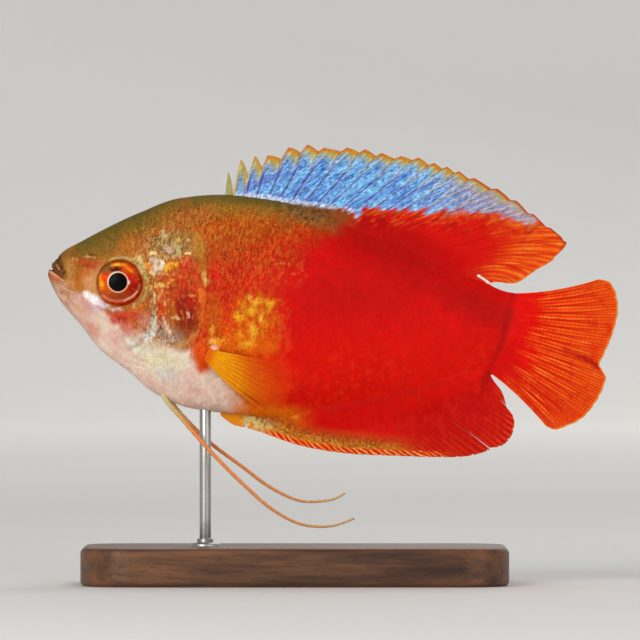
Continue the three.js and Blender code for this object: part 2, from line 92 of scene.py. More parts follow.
crest = profile((-37.5, 1), (-30, 0.9), (-22, 1.1), (-14, 1.25), (-3, 1.5), (8, 1.8), (27.5, 1.6))
keel = profile((-37.5, 1), (-30, 1.1), (-22, 1.1), (-16, 1), (-8, 1.25), (2, 1.7), (10, 1.9), (27.5, 1.6))

# Lines and places on the flank as [x, z]: the gill cover's rear edge, the tail's crease, the mouth's line,
# the nostrils and the pectoral fin's root.
GILL_EDGE = [(-17.9, 47.2), (-17.1, 45.8), (-16.5, 43), (-16.3, 40.5), (-16.6, 37), (-17, 34), (-18, 31.7),
             (-20, 30.4), (-22.8, 29.2), (-25.6, 28.6)]
CREASE = [(24.3, 39.6), (23.7, 37), (22.6, 33.4), (21.8, 30.3), (20.6, 27.8), (19.6, 26.4)]
GAPE = [(-38.4, 42.55), (-37.2, 41.6), (-36.6, 41.1), (-35.9, 40.5), (-35.4, 40.15)]
NOSTRILS = ((-31.6, 43), (-34.2, 43.2))
PECTORAL_ROOT = (-16.8, 30.2)


def smooth(low, high, x):
    """A soft step over x, from 0 at low to 1 at high."""
    t = ((x - low) / (high - low)).clip(0, 1)
    return t * t * (3 - 2 * t)


def fade(low, high, x):
    return 1 - smooth(low, high, x)


def near(d, width):
    """A bell over d: 1 at 0, and about a third at the given width."""
    return np.exp(-((d / width) ** 2))


def to_line(x, z, line):
    """Distance to a line of points, the share of its length reached, and the side, + on its left."""
    line = np.array(line, float)
    steps = np.diff(line, axis=0)
    lengths = np.hypot(*steps.T)
    run = np.concatenate([[0], np.cumsum(lengths)])
    best = np.full(np.shape(x), 1e9)
    share = np.zeros(np.shape(x))
    side = np.zeros(np.shape(x))
    for a, s, n, r in zip(line, steps, lengths, run):
        dx, dz = x - a[0], z - a[1]
        t = ((dx * s[0] + dz * s[1]) / n**2).clip(0, 1)
        d = np.hypot(dx - t * s[0], dz - t * s[1])
        nearer = d < best
        best = np.where(nearer, d, best)
        share = np.where(nearer, (r + t * n) / run[-1], share)
        side = np.where(nearer, np.sign(s[0] * dz - s[1] * dx), side)
    return best, share, side


def grain(p, size, seed):
    """Smooth noise from 0 to 1 over points p, with cells of the given size, from one seeded table."""
    q = np.asarray(p, np.float32) / np.float32(size) + np.float32([3.7, 11.3, 5.9]) * seed
    low = np.floor(q)
    f = q - low
    f = f * f * (3 - 2 * f)
    low = low.astype(np.int32) % NOISE_CELLS
    high = (low + 1) % NOISE_CELLS
    total = 0
    for i, u in ((low[..., 0], 1 - f[..., 0]), (high[..., 0], f[..., 0])):
        for j, v in ((low[..., 1], 1 - f[..., 1]), (high[..., 1], f[..., 1])):
            row = (i * NOISE_CELLS + j) * NOISE_CELLS
            near_end, far_end = NOISE_TABLE[row + low[..., 2]], NOISE_TABLE[row + high[..., 2]]
            total = total + (near_end * (1 - f[..., 2]) + far_end * f[..., 2]) * u * v
    return total


def rough(p, size, seed):
    """Noise from 0 to 1 with two finer layers over the first."""
    finer = np.multiply(size, 0.45)
    finest = np.multiply(size, 0.2)
    total = grain(p, size, seed) + 0.5 * grain(p, finer, seed + 1) + 0.25 * grain(p, finest, seed + 2)
    return total / 1.75


def mouth_relief(x, z):
    """The groove of the mouth, the lips, the creases of the jaws and the nostrils."""
    gap, share, _ = to_line(x, z, GAPE)
    d = -0.42 * near(gap, 0.14) * fade(0.9, 1, share)
    for rise, width, line in (
        (0.17, 0.3, [(-37.1, 42.3), (-36.3, 41.7), (-35.6, 41.15), (-35.15, 40.7)]),
        (0.15, 0.27, [(-37.5, 41.2), (-36.8, 40.6), (-36.1, 40), (-35.4, 39.55)]),
        (-0.14, 0.14, [(-36.3, 43), (-35.8, 42.3), (-35.4, 40.9), (-35.1, 40.3), (-34.6, 40)]),
        (-0.12, 0.14, [(-35.6, 39.6), (-35.4, 39), (-34.9, 38.6), (-34.2, 38.4), (-33.2, 38.2)]),
        (-0.08, 0.14, [(-33.6, 43.15), (-32.2, 43.25), (-31, 42.95)]),
    ):
        d += rise * near(to_line(x, z, line)[0], width)
    for hole in NOSTRILS:
        h = np.hypot(x - hole[0], z - hole[1])
        d += 0.1 * near(h - 0.32, 0.14) - 0.34 * near(h, 0.2)
    return d


def cover_relief(x, z):
    """The ridge of the cheek bone and the gill cover's rear edge, which stands out over a groove."""
    cheek_bone = [(-25.2, 43.2), (-24.2, 40), (-23.6, 36.5), (-23.9, 33.6), (-25.4, 31.4), (-28, 30.6)]
    ridge, share, side = to_line(x, z, cheek_bone)
    ends = smooth(0, 0.12, share) * fade(0.85, 1, share)
    d = (0.12 * near(ridge * side + 0.35, 0.4) - 0.16 * near(ridge * side - 0.15, 0.22)) * ends
    edge, share, side = to_line(x, z, GILL_EDGE)
    ends = smooth(0, 0.15, share) * fade(0.6, 0.82, share)
    lifted = np.where(side < 0, np.exp(-edge / 1.4), -0.55 * np.exp(-edge / 0.5))
    return d + 0.2 * lifted * smooth(0, 0.1, edge + 0.02) * ends


def from_eye(x, z):
    """The distance from the eye's middle, seen from the side."""
    return np.hypot(x - EYE[0], z - EYE[1])


def relief(x, z):
    """How far the skin stands out from the plain body, from folds, grooves, lips and bony edges."""
    r = from_eye(x, z)
    d = 0.2 * near(r - 3.25, 0.22) - 0.07 * near(r - 3.8, 0.25) - 2.2 * fade(2.5, 3.0, r)
    d += mouth_relief(x, z) + cover_relief(x, z)
    throat_folds = ([(-23, 28.6), (-27, 30), (-31, 34.2)], [(-24, 28.2), (-28, 29.4), (-31, 33.3)])
    for line in (*throat_folds, CREASE):
        d -= 0.05 * near(to_line(x, z, line)[0], 0.14)
    fin_root = np.hypot(x - PECTORAL_ROOT[0], (z - PECTORAL_ROOT[1]) / 1.75)
    d += 0.45 * near(fin_root, 1)
    seam, share, _ = to_line(x, z, [(14, 34.2), (18, 33.9), (22.3, 33.7)])
    return d - 0.05 * near(seam, 0.2) * smooth(0, 0.3, share)


def scaled(x, z):
    """1 where the body bears scales and 0 on the bare snout, jaws, throat and round the eye."""
    r = from_eye(x, z)
    bare_throat = np.interp(x, (-34, -30, -26, -24, -20), (60, 38, 33.5, 30.5, 20))
    return smooth(-30.5, -27.5, x + 0.25 * (z - 40)) * smooth(3.6, 4.1, r) * smooth(0, 1.2, z - bare_throat)


def body_point(x, turn):
    """The left flank at station x and angle turn, -90 to 90 degrees from belly to back.

    Past 90 degrees either way the point passes over the midline to the right flank.
    """
    lift, bulge = np.sin(turn), np.cos(turn)
    power = np.where(lift > 0, crest(x), keel(x))
    mid = waist(x)
    top = np.maximum(back(x) - SCALE_DEPTH, mid)
    low = np.minimum(belly(x) + SCALE_DEPTH, mid)
    z = mid + np.where(lift > 0, top - mid, mid - low) * lift
    breadth = np.maximum(flank(x) - SCALE_DEPTH * smooth(-26, -20, x), 0)
    return np.stack([x + 0 * z, -breadth * np.sign(bulge) * np.abs(bulge) ** power, z], -1)


def body_surface(x, turn):
    """Points on the finished skin of the left flank and their outward directions."""
    x, turn = np.broadcast_arrays(np.asarray(x, float), turn)
    e = 0.02
    p = body_point(x, turn)
    along_x = body_point(x + e, turn) - body_point(np.maximum(x - e, SNOUT_X), turn)
    around = body_point(x, turn + 0.01) - body_point(x, turn - 0.01)
    n = np.cross(around, along_x)
    n /= np.maximum(np.linalg.norm(n, axis=-1, keepdims=True), 1e-9)
    outward = np.stack([0 * x, -np.cos(turn), np.sin(turn)], -1)
    n = np.where((n * outward).sum(-1, keepdims=True) < 0, -n, n)
    blunt = smooth(0, 0.4, x - SNOUT_X)
    return p + n * (relief(p[..., 0], p[..., 2]) * blunt)[..., None], n


def curve(a, b, c, d, t):
    """The smooth line through four points, read between b and c at the share t."""
    return 0.5 * (2 * b + (c - a) * t + (2 * a - 5 * b + 4 * c - d) * t**2 + (3 * b - a - 3 * c + d) * t**3)


def run_along(path):
    """The length reached at each point of a path."""
    return np.concatenate([[0], np.cumsum(np.linalg.norm(np.diff(path, axis=0), axis=1))])


def full_turn(sides):
    """The angles of a circle's points."""
    return np.linspace(0, 2 * np.pi, sides, endpoint=False)


def along(line, count):
    """Points at equal steps of length along a smooth line through a few points."""
    line = np.array(line, float)
    ends = [line[0], *line, line[-1]]
    t = np.linspace(0, 1, 24, endpoint=False)[:, None]
    parts = [curve(*four, t) for four in zip(ends, ends[1:], ends[2:], ends[3:])]
    path = np.concatenate([*parts, line[-1:]])
    run = run_along(path)
    at = np.linspace(0, run[-1], count)
    return np.stack([np.interp(at, run, path[:, k]) for k in range(path.shape[1])], -1)


def hue(code):
    """A colour written as the eye reads it, 0xRRGGBB, as linear light."""
    c = np.array([code >> 16, code >> 8 & 255, code & 255]) / 255
    return np.where(c <= 0.04045, c / 12.92, ((c + 0.055) / 1.055) ** 2.4)


RED, DEEP_RED, BRIGHT_RED = 0xD30806, 0xAA0806, 0xE41106
CREAM, PINK_CREAM = 0xE4D4BC, 0xF2CEBE
# Near-black for painted shade in the mouth's slit, near-white for a painted reflection at the foot of the
# back fin, and the back fin's blue.
REFLECTION_WHITE, SLIT_SHADE, BLUE = 0xF6EEE8, 0x2E1C0E, 0x5C8CD0


class Coat:
    """Colours c at points p, laid on one marking after another, each with a mask from 0 to 1."""

    def __init__(self, p, base):
        self.p = p
        self.x, self.z = p[..., 0], p[..., 2]
        self.c = np.zeros(p.shape) + hue(base)
        # Noise round 0 that makes the markings uneven, in patches of about 2, 0.6, 1 and 0.3 mm.
        self.wob = rough(p, (2.2, 2.2, 2.2), 3) - 0.5
        self.fine = rough(p, (0.5, 0.7, 0.7), 8) - 0.5
        self.torn = rough(p, (1, 1, 1), 11) - 0.5
        self.speck = grain(p, (0.26, 0.34, 0.34), 19) - 0.5

    def blend(self, colours, mask):
        """Moves the colours towards others, wholly where the mask is 1."""
        self.c += (colours - self.c) * np.clip(mask, 0, 1)[..., None]

    def lay(self, colour, mask):
        """Lays one colour, 0xRRGGBB, where the mask is above 0."""
        self.blend(hue(colour), mask)

    def oval(self, x, z, rx, rz, tilt=0.0, soft=0.35, ragged=0.0):
        """A mask of an oval about [x, z], turned by tilt degrees, with a soft and a ragged rim."""
        a = np.radians(tilt)
        u = (self.x - x) * np.cos(a) + (self.z - z) * np.sin(a)
        v = (self.z - z) * np.cos(a) - (self.x - x) * np.sin(a)
        d = np.hypot(u / rx, v / rz) + 2 * ragged * self.torn
        return fade(1 - soft, 1 + soft, d)

    def stroke(self, line, width, soft=0.5, ragged=0.0):
        """A mask along a line of points, width to each side of it, with a soft and a ragged rim."""
        line = np.array(line, float)
        reach = width * (1 + soft + 2 * ragged)
        (x_low, z_low), (x_high, z_high) = line.min(0) - reach, line.max(0) + reach
        inside = (self.x > x_low) & (self.x < x_high) & (self.z > z_low) & (self.z < z_high)
        rim = 2 * ragged * (self.fine[inside] + 0.8 * self.speck[inside])
        d = to_line(self.x[inside], self.z[inside], line)[0] / width + rim
        mask = np.zeros(self.x.shape)
        mask[inside] = fade(1 - soft, 1 + soft, d)
        return mask

    def flecks(self, size, share, seed, soft=0.16):
        """Specks of noise that cover the given share of the surface."""
        n = grain(self.p, size, seed) * 0.6 + grain(self.p, np.multiply(size, 0.5), seed + 3) * 0.4
        return smooth(1 - share - soft, 1 - share + soft, 0.5 + (n - 0.5) * 1.7)

    def spots(self, gate, *rows):
        """Ovals laid one after another. Each row is a colour, its share and the oval's numbers."""
        for colour, share, *place in rows:
            self.lay(colour, self.oval(*place) * share * gate)

    def strokes(self, ragged, *rows):
        """Lines laid one after another. Each row is a colour, its share, width, softness and points."""
        for colour, share, width, soft, *line in rows:
            self.lay(colour, self.stroke(line, width, soft, ragged) * share)

    def finished(self, swing, slow=0):
        """The colours, lightened and darkened a little by fine and by coarse noise."""
        self.c *= (1 + swing * self.fine + slow * self.wob)[..., None]
        return self.c.clip(0.001, 1)


def throat_edge(x):
    """The height over x where the pale throat and breast give way to the coloured flank."""
    at = -36.5, -34.5, -32.5, -29.5, -26.5, -24, -21.5, -19, -17.6, -16.4, -14.8, -13, -11.4, -9.5
    height = 39.7, 38.8, 37.2, 35.6, 33.1, 32.1, 31.7, 31.4, 30.6, 29.4, 27.6, 25.6, 23.6, 15
    return np.interp(x, at, height)


def paint_rear(k):
    """The red rear, a little darker along the upper flank and on the tail's root, warmer low down. The
    tail's crease carries painted shade and the skin just past it painted light.
    """
    k.spots(
        1,
        (DEEP_RED, 0.75, 7, 45.4, 11, 4.2, -28, 0.6, 0.25),
        (DEEP_RED, 0.7, 19.5, 36.3, 4.8, 1.9, -20, 0.6, 0.2),
        (DEEP_RED, 0.35, 2, 38, 9, 3.4, -10, 0.7, 0.3),
        (BRIGHT_RED, 0.55, 6, 28, 16, 5.5, 5, 0.7, 0.3),
    )
    k.lay(0xEC3C0E, 0.3 * k.flecks((0.4, 0.5, 0.5), 0.3, 61) * k.oval(2, 26.5, 9, 4, 8, 0.6))
    k.lay(0xE83E10, 0.25 * k.flecks((0.4, 0.4, 0.4), 0.35, 63) * k.oval(19, 29.6, 2.6, 1.8, 30, 0.8, 0.4))
    # Brighter red on the skin past the tail's crease: painted light that lifts the shade where this skin
    # turns away towards the tail.
    beyond = k.x - np.interp(k.z, (28, 29.9, 32.4, 35.4, 38.2), (20.9, 21.7, 22.4, 23.2, 24))
    k.lay(0xE21008, smooth(-0.4, 0.7, beyond) * 0.9)
    # A darker stroke along the tail's crease: painted shade.
    k.lay(0x8C0A08, 0.55 * k.stroke(CREASE, 0.42, 0.9))


def streaked_until(z):
    """The station over height z where the streaked front of the flank gives way to plain red."""
    return np.interp(z, (29, 37, 39.5, 41.5, 44, 47.5), (-8, -6.8, -6.2, -5, -1.5, 2.5))


def paint_front(k):
    """The orange-brown front of the body, redder downwards, olive along the back."""
    depth = back(k.x) - k.z
    front = fade(-3.5, 1.5, k.x - streaked_until(k.z) + 5 * k.wob)
    over = fade(-3, 3.5, k.x + 3 * k.wob)
    tan_depth = np.interp(k.x, (-16, -11, -8, -5, -2, 1), (8.5, 7, 5.4, 4, 3, 1.2))
    k.lay(0xBA2206, front * 0.85)
    k.lay(0xAC440A, front * fade(-2, 2.4, depth - tan_depth + 4 * k.wob) * 0.85)
    k.lay(0xA03C10, over * fade(1.8, 4.4, depth + 2.5 * k.wob) * 0.7)
    k.lay(0x946A20, over * fade(1.6, 4.4, depth + 2 * k.wob + 0.1 * (k.x + 14)) * 0.85)
    k.lay(0x605420, over * fade(0.4, 2.2, depth + 1.2 * k.wob) * 0.85)
    dusk = over * smooth(-9, -4, k.x) * fade(1.2, 3.4, depth + k.wob)
    k.lay(0x784628, dusk * 0.6)
    k.lay(0x34281A, dusk * k.flecks((0.4, 0.5, 0.5), 0.42, 41) * 0.8)
    k.lay(0x987448, dusk * k.flecks((0.25, 0.35, 0.5), 0.3, 45) * fade(-2, 3, k.x) * 0.7)
    k.lay(0x962C12, dusk * k.flecks((0.5, 0.5, 0.5), 0.4, 43) * smooth(-5, 0, k.x) * 0.8)
    k.lay(0xBA120A, k.oval(-11.4, 41, 1.5, 1.3, 10, 0.5, 0.5) * 0.9)
    k.lay(0xCC1A0C, k.oval(-15.3, 41, 0.7, 1.4, 5, 0.5, 0.5) * 0.8)


def paint_shoulder(k):
    """The orange and gold patch over the pectoral fin, the lit specks round it and painted light on the
    flank under the fin.
    """
    k.lay(0xCA1E09, k.oval(-9, 39.7, 3.6, 1.7, 5, 0.5, 0.5) * 0.7)
    patch = k.oval(-10.6, 34.8, 3.4, 3.3, 10, 0.45, 0.7)
    k.lay(0xD04205, patch * 0.9)
    k.lay(0xDA7E0A, patch * k.flecks((0.4, 0.5, 0.9), 0.42, 31) * 0.8)
    k.lay(0xA41A08, patch * k.flecks((0.35, 0.5, 1), 0.24, 35) * 0.7)
    k.spots(
        1,
        (0xD02A09, 0.8, -13.6, 34.4, 1.2, 2.6, 5, 0.6, 0.5),
        (0xBE5C10, 0.7, -15.5, 34.8, 0.9, 2.8, 0, 0.6, 0.4),
        (0xD85C05, 0.9, -11.8, 31.5, 4.8, 1.9, -2, 0.45, 0.5),
    )
    k.spots(
        k.flecks((0.35, 0.5, 0.6), 0.75, 33),
        (0xF0C846, 0.75, -10.9, 37.8, 0.35, 0.4, 0, 0.7, 0.8),
        (0xF0C432, 0.75, -9.8, 37.2, 0.6, 0.5, 0, 0.7, 0.9),
        (0xEEB41E, 0.75, -8.3, 36.6, 0.5, 0.7, 20, 0.7, 0.9),
        (0xF2C22C, 0.75, -10.7, 35.8, 0.6, 0.8, 0, 0.7, 0.9),
        (0xEEB41E, 0.75, -12.3, 35.2, 0.6, 0.6, 0, 0.7, 0.9),
        (0xF0C240, 0.75, -9.4, 35, 0.35, 0.8, 0, 0.7, 0.9),
        (0xEEB832, 0.75, -10.4, 33.4, 0.5, 0.9, 0, 0.7, 0.9),
        (0xEC9C14, 0.75, -12.4, 32.9, 0.7, 0.7, 0, 0.7, 0.9),
        (0xF2BE3C, 0.75, -15.9, 33.4, 0.3, 0.6, 0, 0.7, 0.6),
        (0xF2B62C, 0.75, -14.9, 32, 0.9, 0.5, 0, 0.7, 0.8),
        (0xF0AE24, 0.75, -11.6, 31.5, 1.2, 0.5, 0, 0.7, 0.9),
    )
    # Bright orange on the flank under the clear pectoral fin: painted light that lifts the fin's shadow
    # there.
    k.lay(0xFA5A0C, k.oval(-9.7, 26.2, 3, 3, -20, 0.8, 0.35) * 0.85)
    specks = k.oval(-6.6, 35, 0.8, 2.6, 5, 0.6, 0.5)
    k.lay(0xDC5A28, specks * k.flecks((0.3, 0.3, 0.3), 0.3, 37) * 0.7)
    lit = k.oval(-7.3, 41.3, 3.4, 1.8, -6, 0.6, 0.4)
    k.lay(0xEE6028, lit * k.flecks((0.25, 0.4, 0.45), 0.18, 47) * 0.75)


def paint_underside(k):
    """The pale throat, breast and belly, edged with orange towards the red. Returns its mask."""
    edge = throat_edge(k.x)
    under = smooth(-1.1, 1.1, edge - k.z + 2.2 * k.wob + 1.1 * k.fine)
    k.lay(0xD67828, smooth(-2.4, 0.2, edge - k.z + 1.8 * k.wob) * smooth(-18, -14, k.x) * 0.8)
    k.lay(CREAM, under)
    k.lay(PINK_CREAM, under * fade(1.5, 5.5, k.z - belly(k.x) + 3 * k.wob) * 0.75)
    k.spots(
        under,
        (0xE8E0C4, 0.8, -22.4, 29.8, 4.4, 2.2, -25, 0.6, 0.4),
        (0xDEE6D0, 0.7, -26.5, 32, 1.6, 0.9, -30, 0.7, 0.4),
        (0xCEE2CC, 0.8, -25.3, 31.4, 1.5, 0.8, -20, 0.7, 0.4),
        (0xE4D8A4, 0.65, -22.3, 29.6, 2.2, 1.6, -20, 0.7, 0.5),
        (0xD0D0CE, 0.6, -21.6, 27.6, 1.8, 1, -20, 0.7, 0.5),
        (0xE2B0A6, 0.7, -28.4, 32.2, 1.8, 1.1, -40, 0.7, 0.5),
        (0xE8BEB2, 0.7, -18.6, 27.4, 2, 1.4, 30, 0.7, 0.5),
    )
    k.lay(0xD6A692, under * fade(-33.5, -29, k.x) * 0.85)
    k.lay(0xE8985C, under * smooth(-15, -12, k.x) * 0.55)
    k.lay(0xC87058, under * k.oval(-31.2, 33.4, 1.3, 0.7, -45, 0.6, 0.5) * 0.55)
    k.lay(0xCE9668, under * k.oval(-33.8, 36.6, 1.5, 0.8, -30, 0.7, 0.4) * 0.5)
    k.lay(0xEEE6D6, under * k.flecks((1, 1.2, 1.2), 0.3, 57, 0.3) * 0.4)
    k.lay(0xCC9282, under * k.flecks((0.9, 1.1, 1.1), 0.28, 51, 0.3) * 0.35)
    k.lay(0xB87868, under * k.flecks((0.35, 0.45, 0.45), 0.2, 53, 0.3) * 0.1)
    # An orange band along the belly's edge ahead of the anal fin, laid brighter than the skin's own orange:
    # painted light against the shade where the belly turns downward.
    lit_hem = fade(0.7, 2.6, k.z - belly(k.x) + 1.4 * k.wob) * smooth(-14, -12, k.x)
    k.lay(0xFA8012, lit_hem * fade(-7, -1, k.x) * 0.85)
    return under


def paint_head(k, under):
    """The head above the throat: ochre, olive along the top, with orange-brown patches on the snout."""
    depth = back(k.x) - k.z
    head = fade(-17.6, -15.8, k.x + 0.2 * np.abs(k.z - 39) + 1.4 * k.torn)
    top = head * (1 - under)
    forward = fade(-24.5, -19.5, k.x)
    k.lay(0xA8621C, top)
    k.lay(0xB85216, top * k.oval(-22.6, 45.2, 3, 1.7, -12, 0.6, 0.3) * 0.8)
    k.lay(0xBA5C22, top * k.oval(-18.6, 46.6, 2.6, 2, -8, 0.6, 0.3) * 0.6)
    k.lay(0x7A5A1C, head * fade(2.2, 5.4, depth + 1.6 * k.wob) * (0.45 + 0.55 * forward))
    k.lay(0xAE4C2A, k.oval(-18.9, 48.5, 2.9, 1.1, 6, 0.6, 0.5) * 0.5)
    k.lay(0x645420, head * fade(0.3, 2.8, depth + 0.8 * k.wob) * (0.5 + 0.35 * forward))
    mottle = smooth(1, 3, depth) * fade(5, 9, depth)
    k.lay(0xB85812, head * k.flecks((0.8, 0.9, 0.9), 0.42, 71) * mottle * 0.5)
    k.lay(0x68501C, head * k.flecks((0.3, 0.35, 0.35), 0.25, 73, 0.3) * mottle * 0.5)
    k.lay(0xA06022, top * fade(-34.8, -33.2, k.x) * 0.9)
    k.spots(
        top,
        (0xD69866, 0.85, -31.8, 39.7, 1, 1.7, 0, 0.7, 0.3),
        (0xB48246, 0.6, -34.5, 41.4, 0.55, 1.3, 6, 0.6, 0.3),
        (0xCE9660, 0.6, -34.6, 39.4, 0.9, 0.7, -20, 0.7, 0.3),
    )
    k.spots(
        1,
        (0xBA5812, 0.7, -33.45, 39.8, 0.45, 1.2, 4, 0.7, 0.5),
        (0xA86C1A, 0.7, -33.3, 38.9, 0.5, 0.4, 4, 0.7, 0.5),
        (0xAC3C06, 0.95, -32.2, 42.1, 1.5, 0.62, -12, 0.6, 0.4),
        (0xC05812, 0.75, -32.4, 40.95, 0.7, 0.5, 0, 0.7, 0.4),
    )
    k.lay(0x605430, fade(-36, -33.6, k.x) * fade(0.5, 1.5, depth) * 0.7)
    return head


def paint_cheek(k, under, head):
    """Behind the eye: ochre with cream flecks above, then the mottled red gill cover."""
    open_face = head * (1 - under)
    k.lay(0xAA5216, k.oval(-22.7, 39.6, 4.2, 6, 0, 0.3, 0.35) * open_face)
    k.lay(0x8E6C30, k.oval(-20.9, 44.6, 2.8, 1.5, 8, 0.5, 0.5) * 0.75)
    k.lay(0x58401E, k.oval(-21.4, 44.6, 3, 2, 0, 0.5, 0.5) * k.flecks((0.3, 0.35, 0.45), 0.3, 75) * 0.6)
    k.spots(
        1,
        (0xC62C0D, 0.95, -18.9, 38.8, 2.1, 4, -4, 0.35, 0.45),
        (0xCE280E, 0.85, -19.5, 42, 0.75, 0.9, 0, 0.6, 0.4),
        (0xCC4614, 0.85, -21.9, 38.4, 1.4, 2.2, 0, 0.5, 0.5),
        (0xC43810, 0.8, -22.2, 36.2, 0.8, 1.6, 0, 0.6, 0.4),
        (0x96120A, 0.85, -19.4, 36.6, 1.9, 1.7, 0, 0.5, 0.5),
        (0xC2180F, 0.7, -18.4, 36.8, 0.9, 0.9, 0, 0.6, 0.4),
        (0x7A120A, 0.8, -19.3, 34.7, 1.6, 1.9, 12, 0.6, 0.5),
        (0xB25A14, 0.75, -21.2, 35.4, 0.6, 1.5, -5, 0.6, 0.8),
        (0xA68E76, 0.7, -21.6, 32.9, 1.9, 1, -20, 0.5, 0.5),
        (0xD6C8AE, 0.7, -24.6, 31.9, 1.7, 1, -35, 0.6, 0.5),
        (0xCE826C, 0.7, -24.6, 34.7, 1.2, 1.2, 0, 0.7, 0.5),
        (0xCC6C24, 0.85, -25.7, 36.2, 1, 0.5, 15, 0.6, 0.4),
        (0xC03A28, 0.9, -27.5, 35.15, 2.1, 0.85, 4, 0.5, 0.5),
        (0xB6281A, 0.6, -27.9, 34.9, 0.8, 0.4, 0, 0.7, 0.4),
        (0xCC624E, 0.7, -27, 33.7, 0.9, 0.6, 0, 0.7, 0.5),
        (0xCE9892, 0.7, -31.8, 36.4, 1.5, 0.7, -35, 0.7, 0.4),
        (0xB07826, 0.8, -17.6, 44.4, 0.9, 1.6, 8, 0.5, 0.4),
    )
    shade = k.oval(-21.6, 33.2, 2.3, 1.2, -20, 0.5, 0.5)
    k.lay(0x684842, shade * k.flecks((0.25, 0.35, 0.35), 0.3, 97) * 0.65)
    cover = k.oval(-19.8, 38.3, 3.2, 5.4, 0, 0.4, 0.4)
    k.lay(0x78160A, cover * k.flecks((0.35, 0.5, 0.9), 0.3, 83) * 0.6)
    k.lay(0xDA7428, cover * k.flecks((0.2, 0.3, 0.5), 0.24, 87, 0.24) * 0.6)
    behind_eye = k.oval(-23, 38.6, 1.9, 3.8, 0, 0.5, 0.5)
    k.lay(0x703010, behind_eye * k.flecks((0.25, 0.3, 0.5), 0.24, 77) * 0.6)
    k.lay(0xE2C276, behind_eye * k.flecks((0.22, 0.3, 0.4), 0.2, 79) * 0.75)
    k.lay(0xCE786A, k.oval(-27, 33.5, 2.8, 1.1, -28, 0.6, 0.5) * k.flecks((0.5, 0.7, 0.7), 0.5, 89) * 0.6)


def paint_cheek_lines(k):
    """The larger of the cream, gold and orange marks behind the eye and on the gill cover."""
    k.strokes(
        1,
        (0xDECE8A, 0.8, 0.45, 0.7, (-25.5, 43), (-25.2, 42.2), (-24.9, 41.2)),
        (0xCEA05C, 0.5, 0.3, 0.7, (-20.5, 31.2), (-19.2, 31.8), (-17.9, 33)),
        (0xF0D696, 0.9, 0.24, 0.7, (-24, 43.5), (-23.4, 43.45)),
        (0xD6CEB8, 0.85, 0.45, 0.7, (-23.4, 42.6), (-23.2, 41.6), (-22.4, 41.4)),
        (0xF6E8CC, 0.9, 0.28, 0.7, (-22.4, 42.4), (-22.2, 41.8)),
        (0xF6DE96, 0.8, 0.18, 0.7, (-23.9, 40.9), (-23.4, 40.7)),
        (0xF4AC18, 0.95, 0.42, 0.7, (-21.9, 41.3), (-21.5, 41.9), (-20.9, 42.1)),
        (0xEE7A14, 0.95, 0.33, 0.7, (-24.2, 42.1), (-24.15, 41.7)),
        (0xE0BE60, 0.8, 0.15, 0.7, (-23.3, 39.1), (-22.8, 39.5), (-22.2, 39.3)),
        (0xE8A032, 0.7, 0.17, 0.7, (-21.6, 39.5), (-20.9, 40)),
        (0xCECEA0, 0.9, 0.18, 0.7, (-23.45, 38.3), (-23.35, 37.2)),
        (0xB8C6A0, 0.85, 0.17, 0.7, (-23.35, 37.2), (-23.5, 36.2), (-23.4, 35.1)),
        (0xBAD0B6, 0.9, 0.27, 0.7, (-23.45, 35), (-23.5, 34), (-23.8, 33.2)),
        (0xDCE2DC, 0.8, 0.42, 0.7, (-23.8, 33.2), (-24.4, 32.4)),
        (0xECBEA0, 0.8, 0.2, 0.7, (-22.3, 35.1), (-22, 34.2), (-21.5, 33.2)),
        (0x6E2218, 0.7, 0.17, 0.7, (-22.6, 35.3), (-22.5, 34.2), (-22.7, 33.3)),
        (0xD8C482, 0.85, 0.14, 0.7, (-21, 35), (-20.6, 35.3), (-20.3, 34.9)),
        (0xF0BE96, 0.9, 0.13, 0.7, (-19.1, 35.8), (-18.9, 35.2)),
        (0xF0963C, 0.9, 0.13, 0.7, (-18.9, 38), (-18.3, 37.9)),
        (0xF0D896, 0.95, 0.17, 0.7, (-19.4, 43.45), (-18.8, 43.45)),
        (0xE0D296, 0.8, 0.15, 0.7, (-19.1, 45.2), (-18.9, 45.3)),
        (0xF0B046, 0.85, 0.2, 0.7, (-20.6, 45.3), (-20.3, 45.1)),
        (0xDCC896, 0.7, 0.18, 0.7, (-22.4, 46.4), (-22.1, 45.7), (-21.7, 45.9)),
        (0xCEA69C, 0.6, 0.35, 0.7, (-21.8, 44.2), (-21.4, 43.9)),
        (0xBEB082, 0.7, 0.25, 0.7, (-20.5, 44.4), (-20.1, 43.7), (-20.8, 43)),
        (0xD6B45A, 0.9, 0.22, 0.7, (-16.95, 41.2), (-16.7, 39.8), (-16.6, 39.1)),
        (0xA0681E, 0.7, 0.4, 0.7, (-17.3, 43.4), (-17, 41.4)),
        (0xEE8C22, 0.8, 0.2, 0.7, (-17.4, 38.8), (-17.3, 37.3)),
        (0xE26816, 0.75, 0.34, 0.7, (-16.9, 38.4), (-16.9, 36), (-17.2, 33.8)),
    )


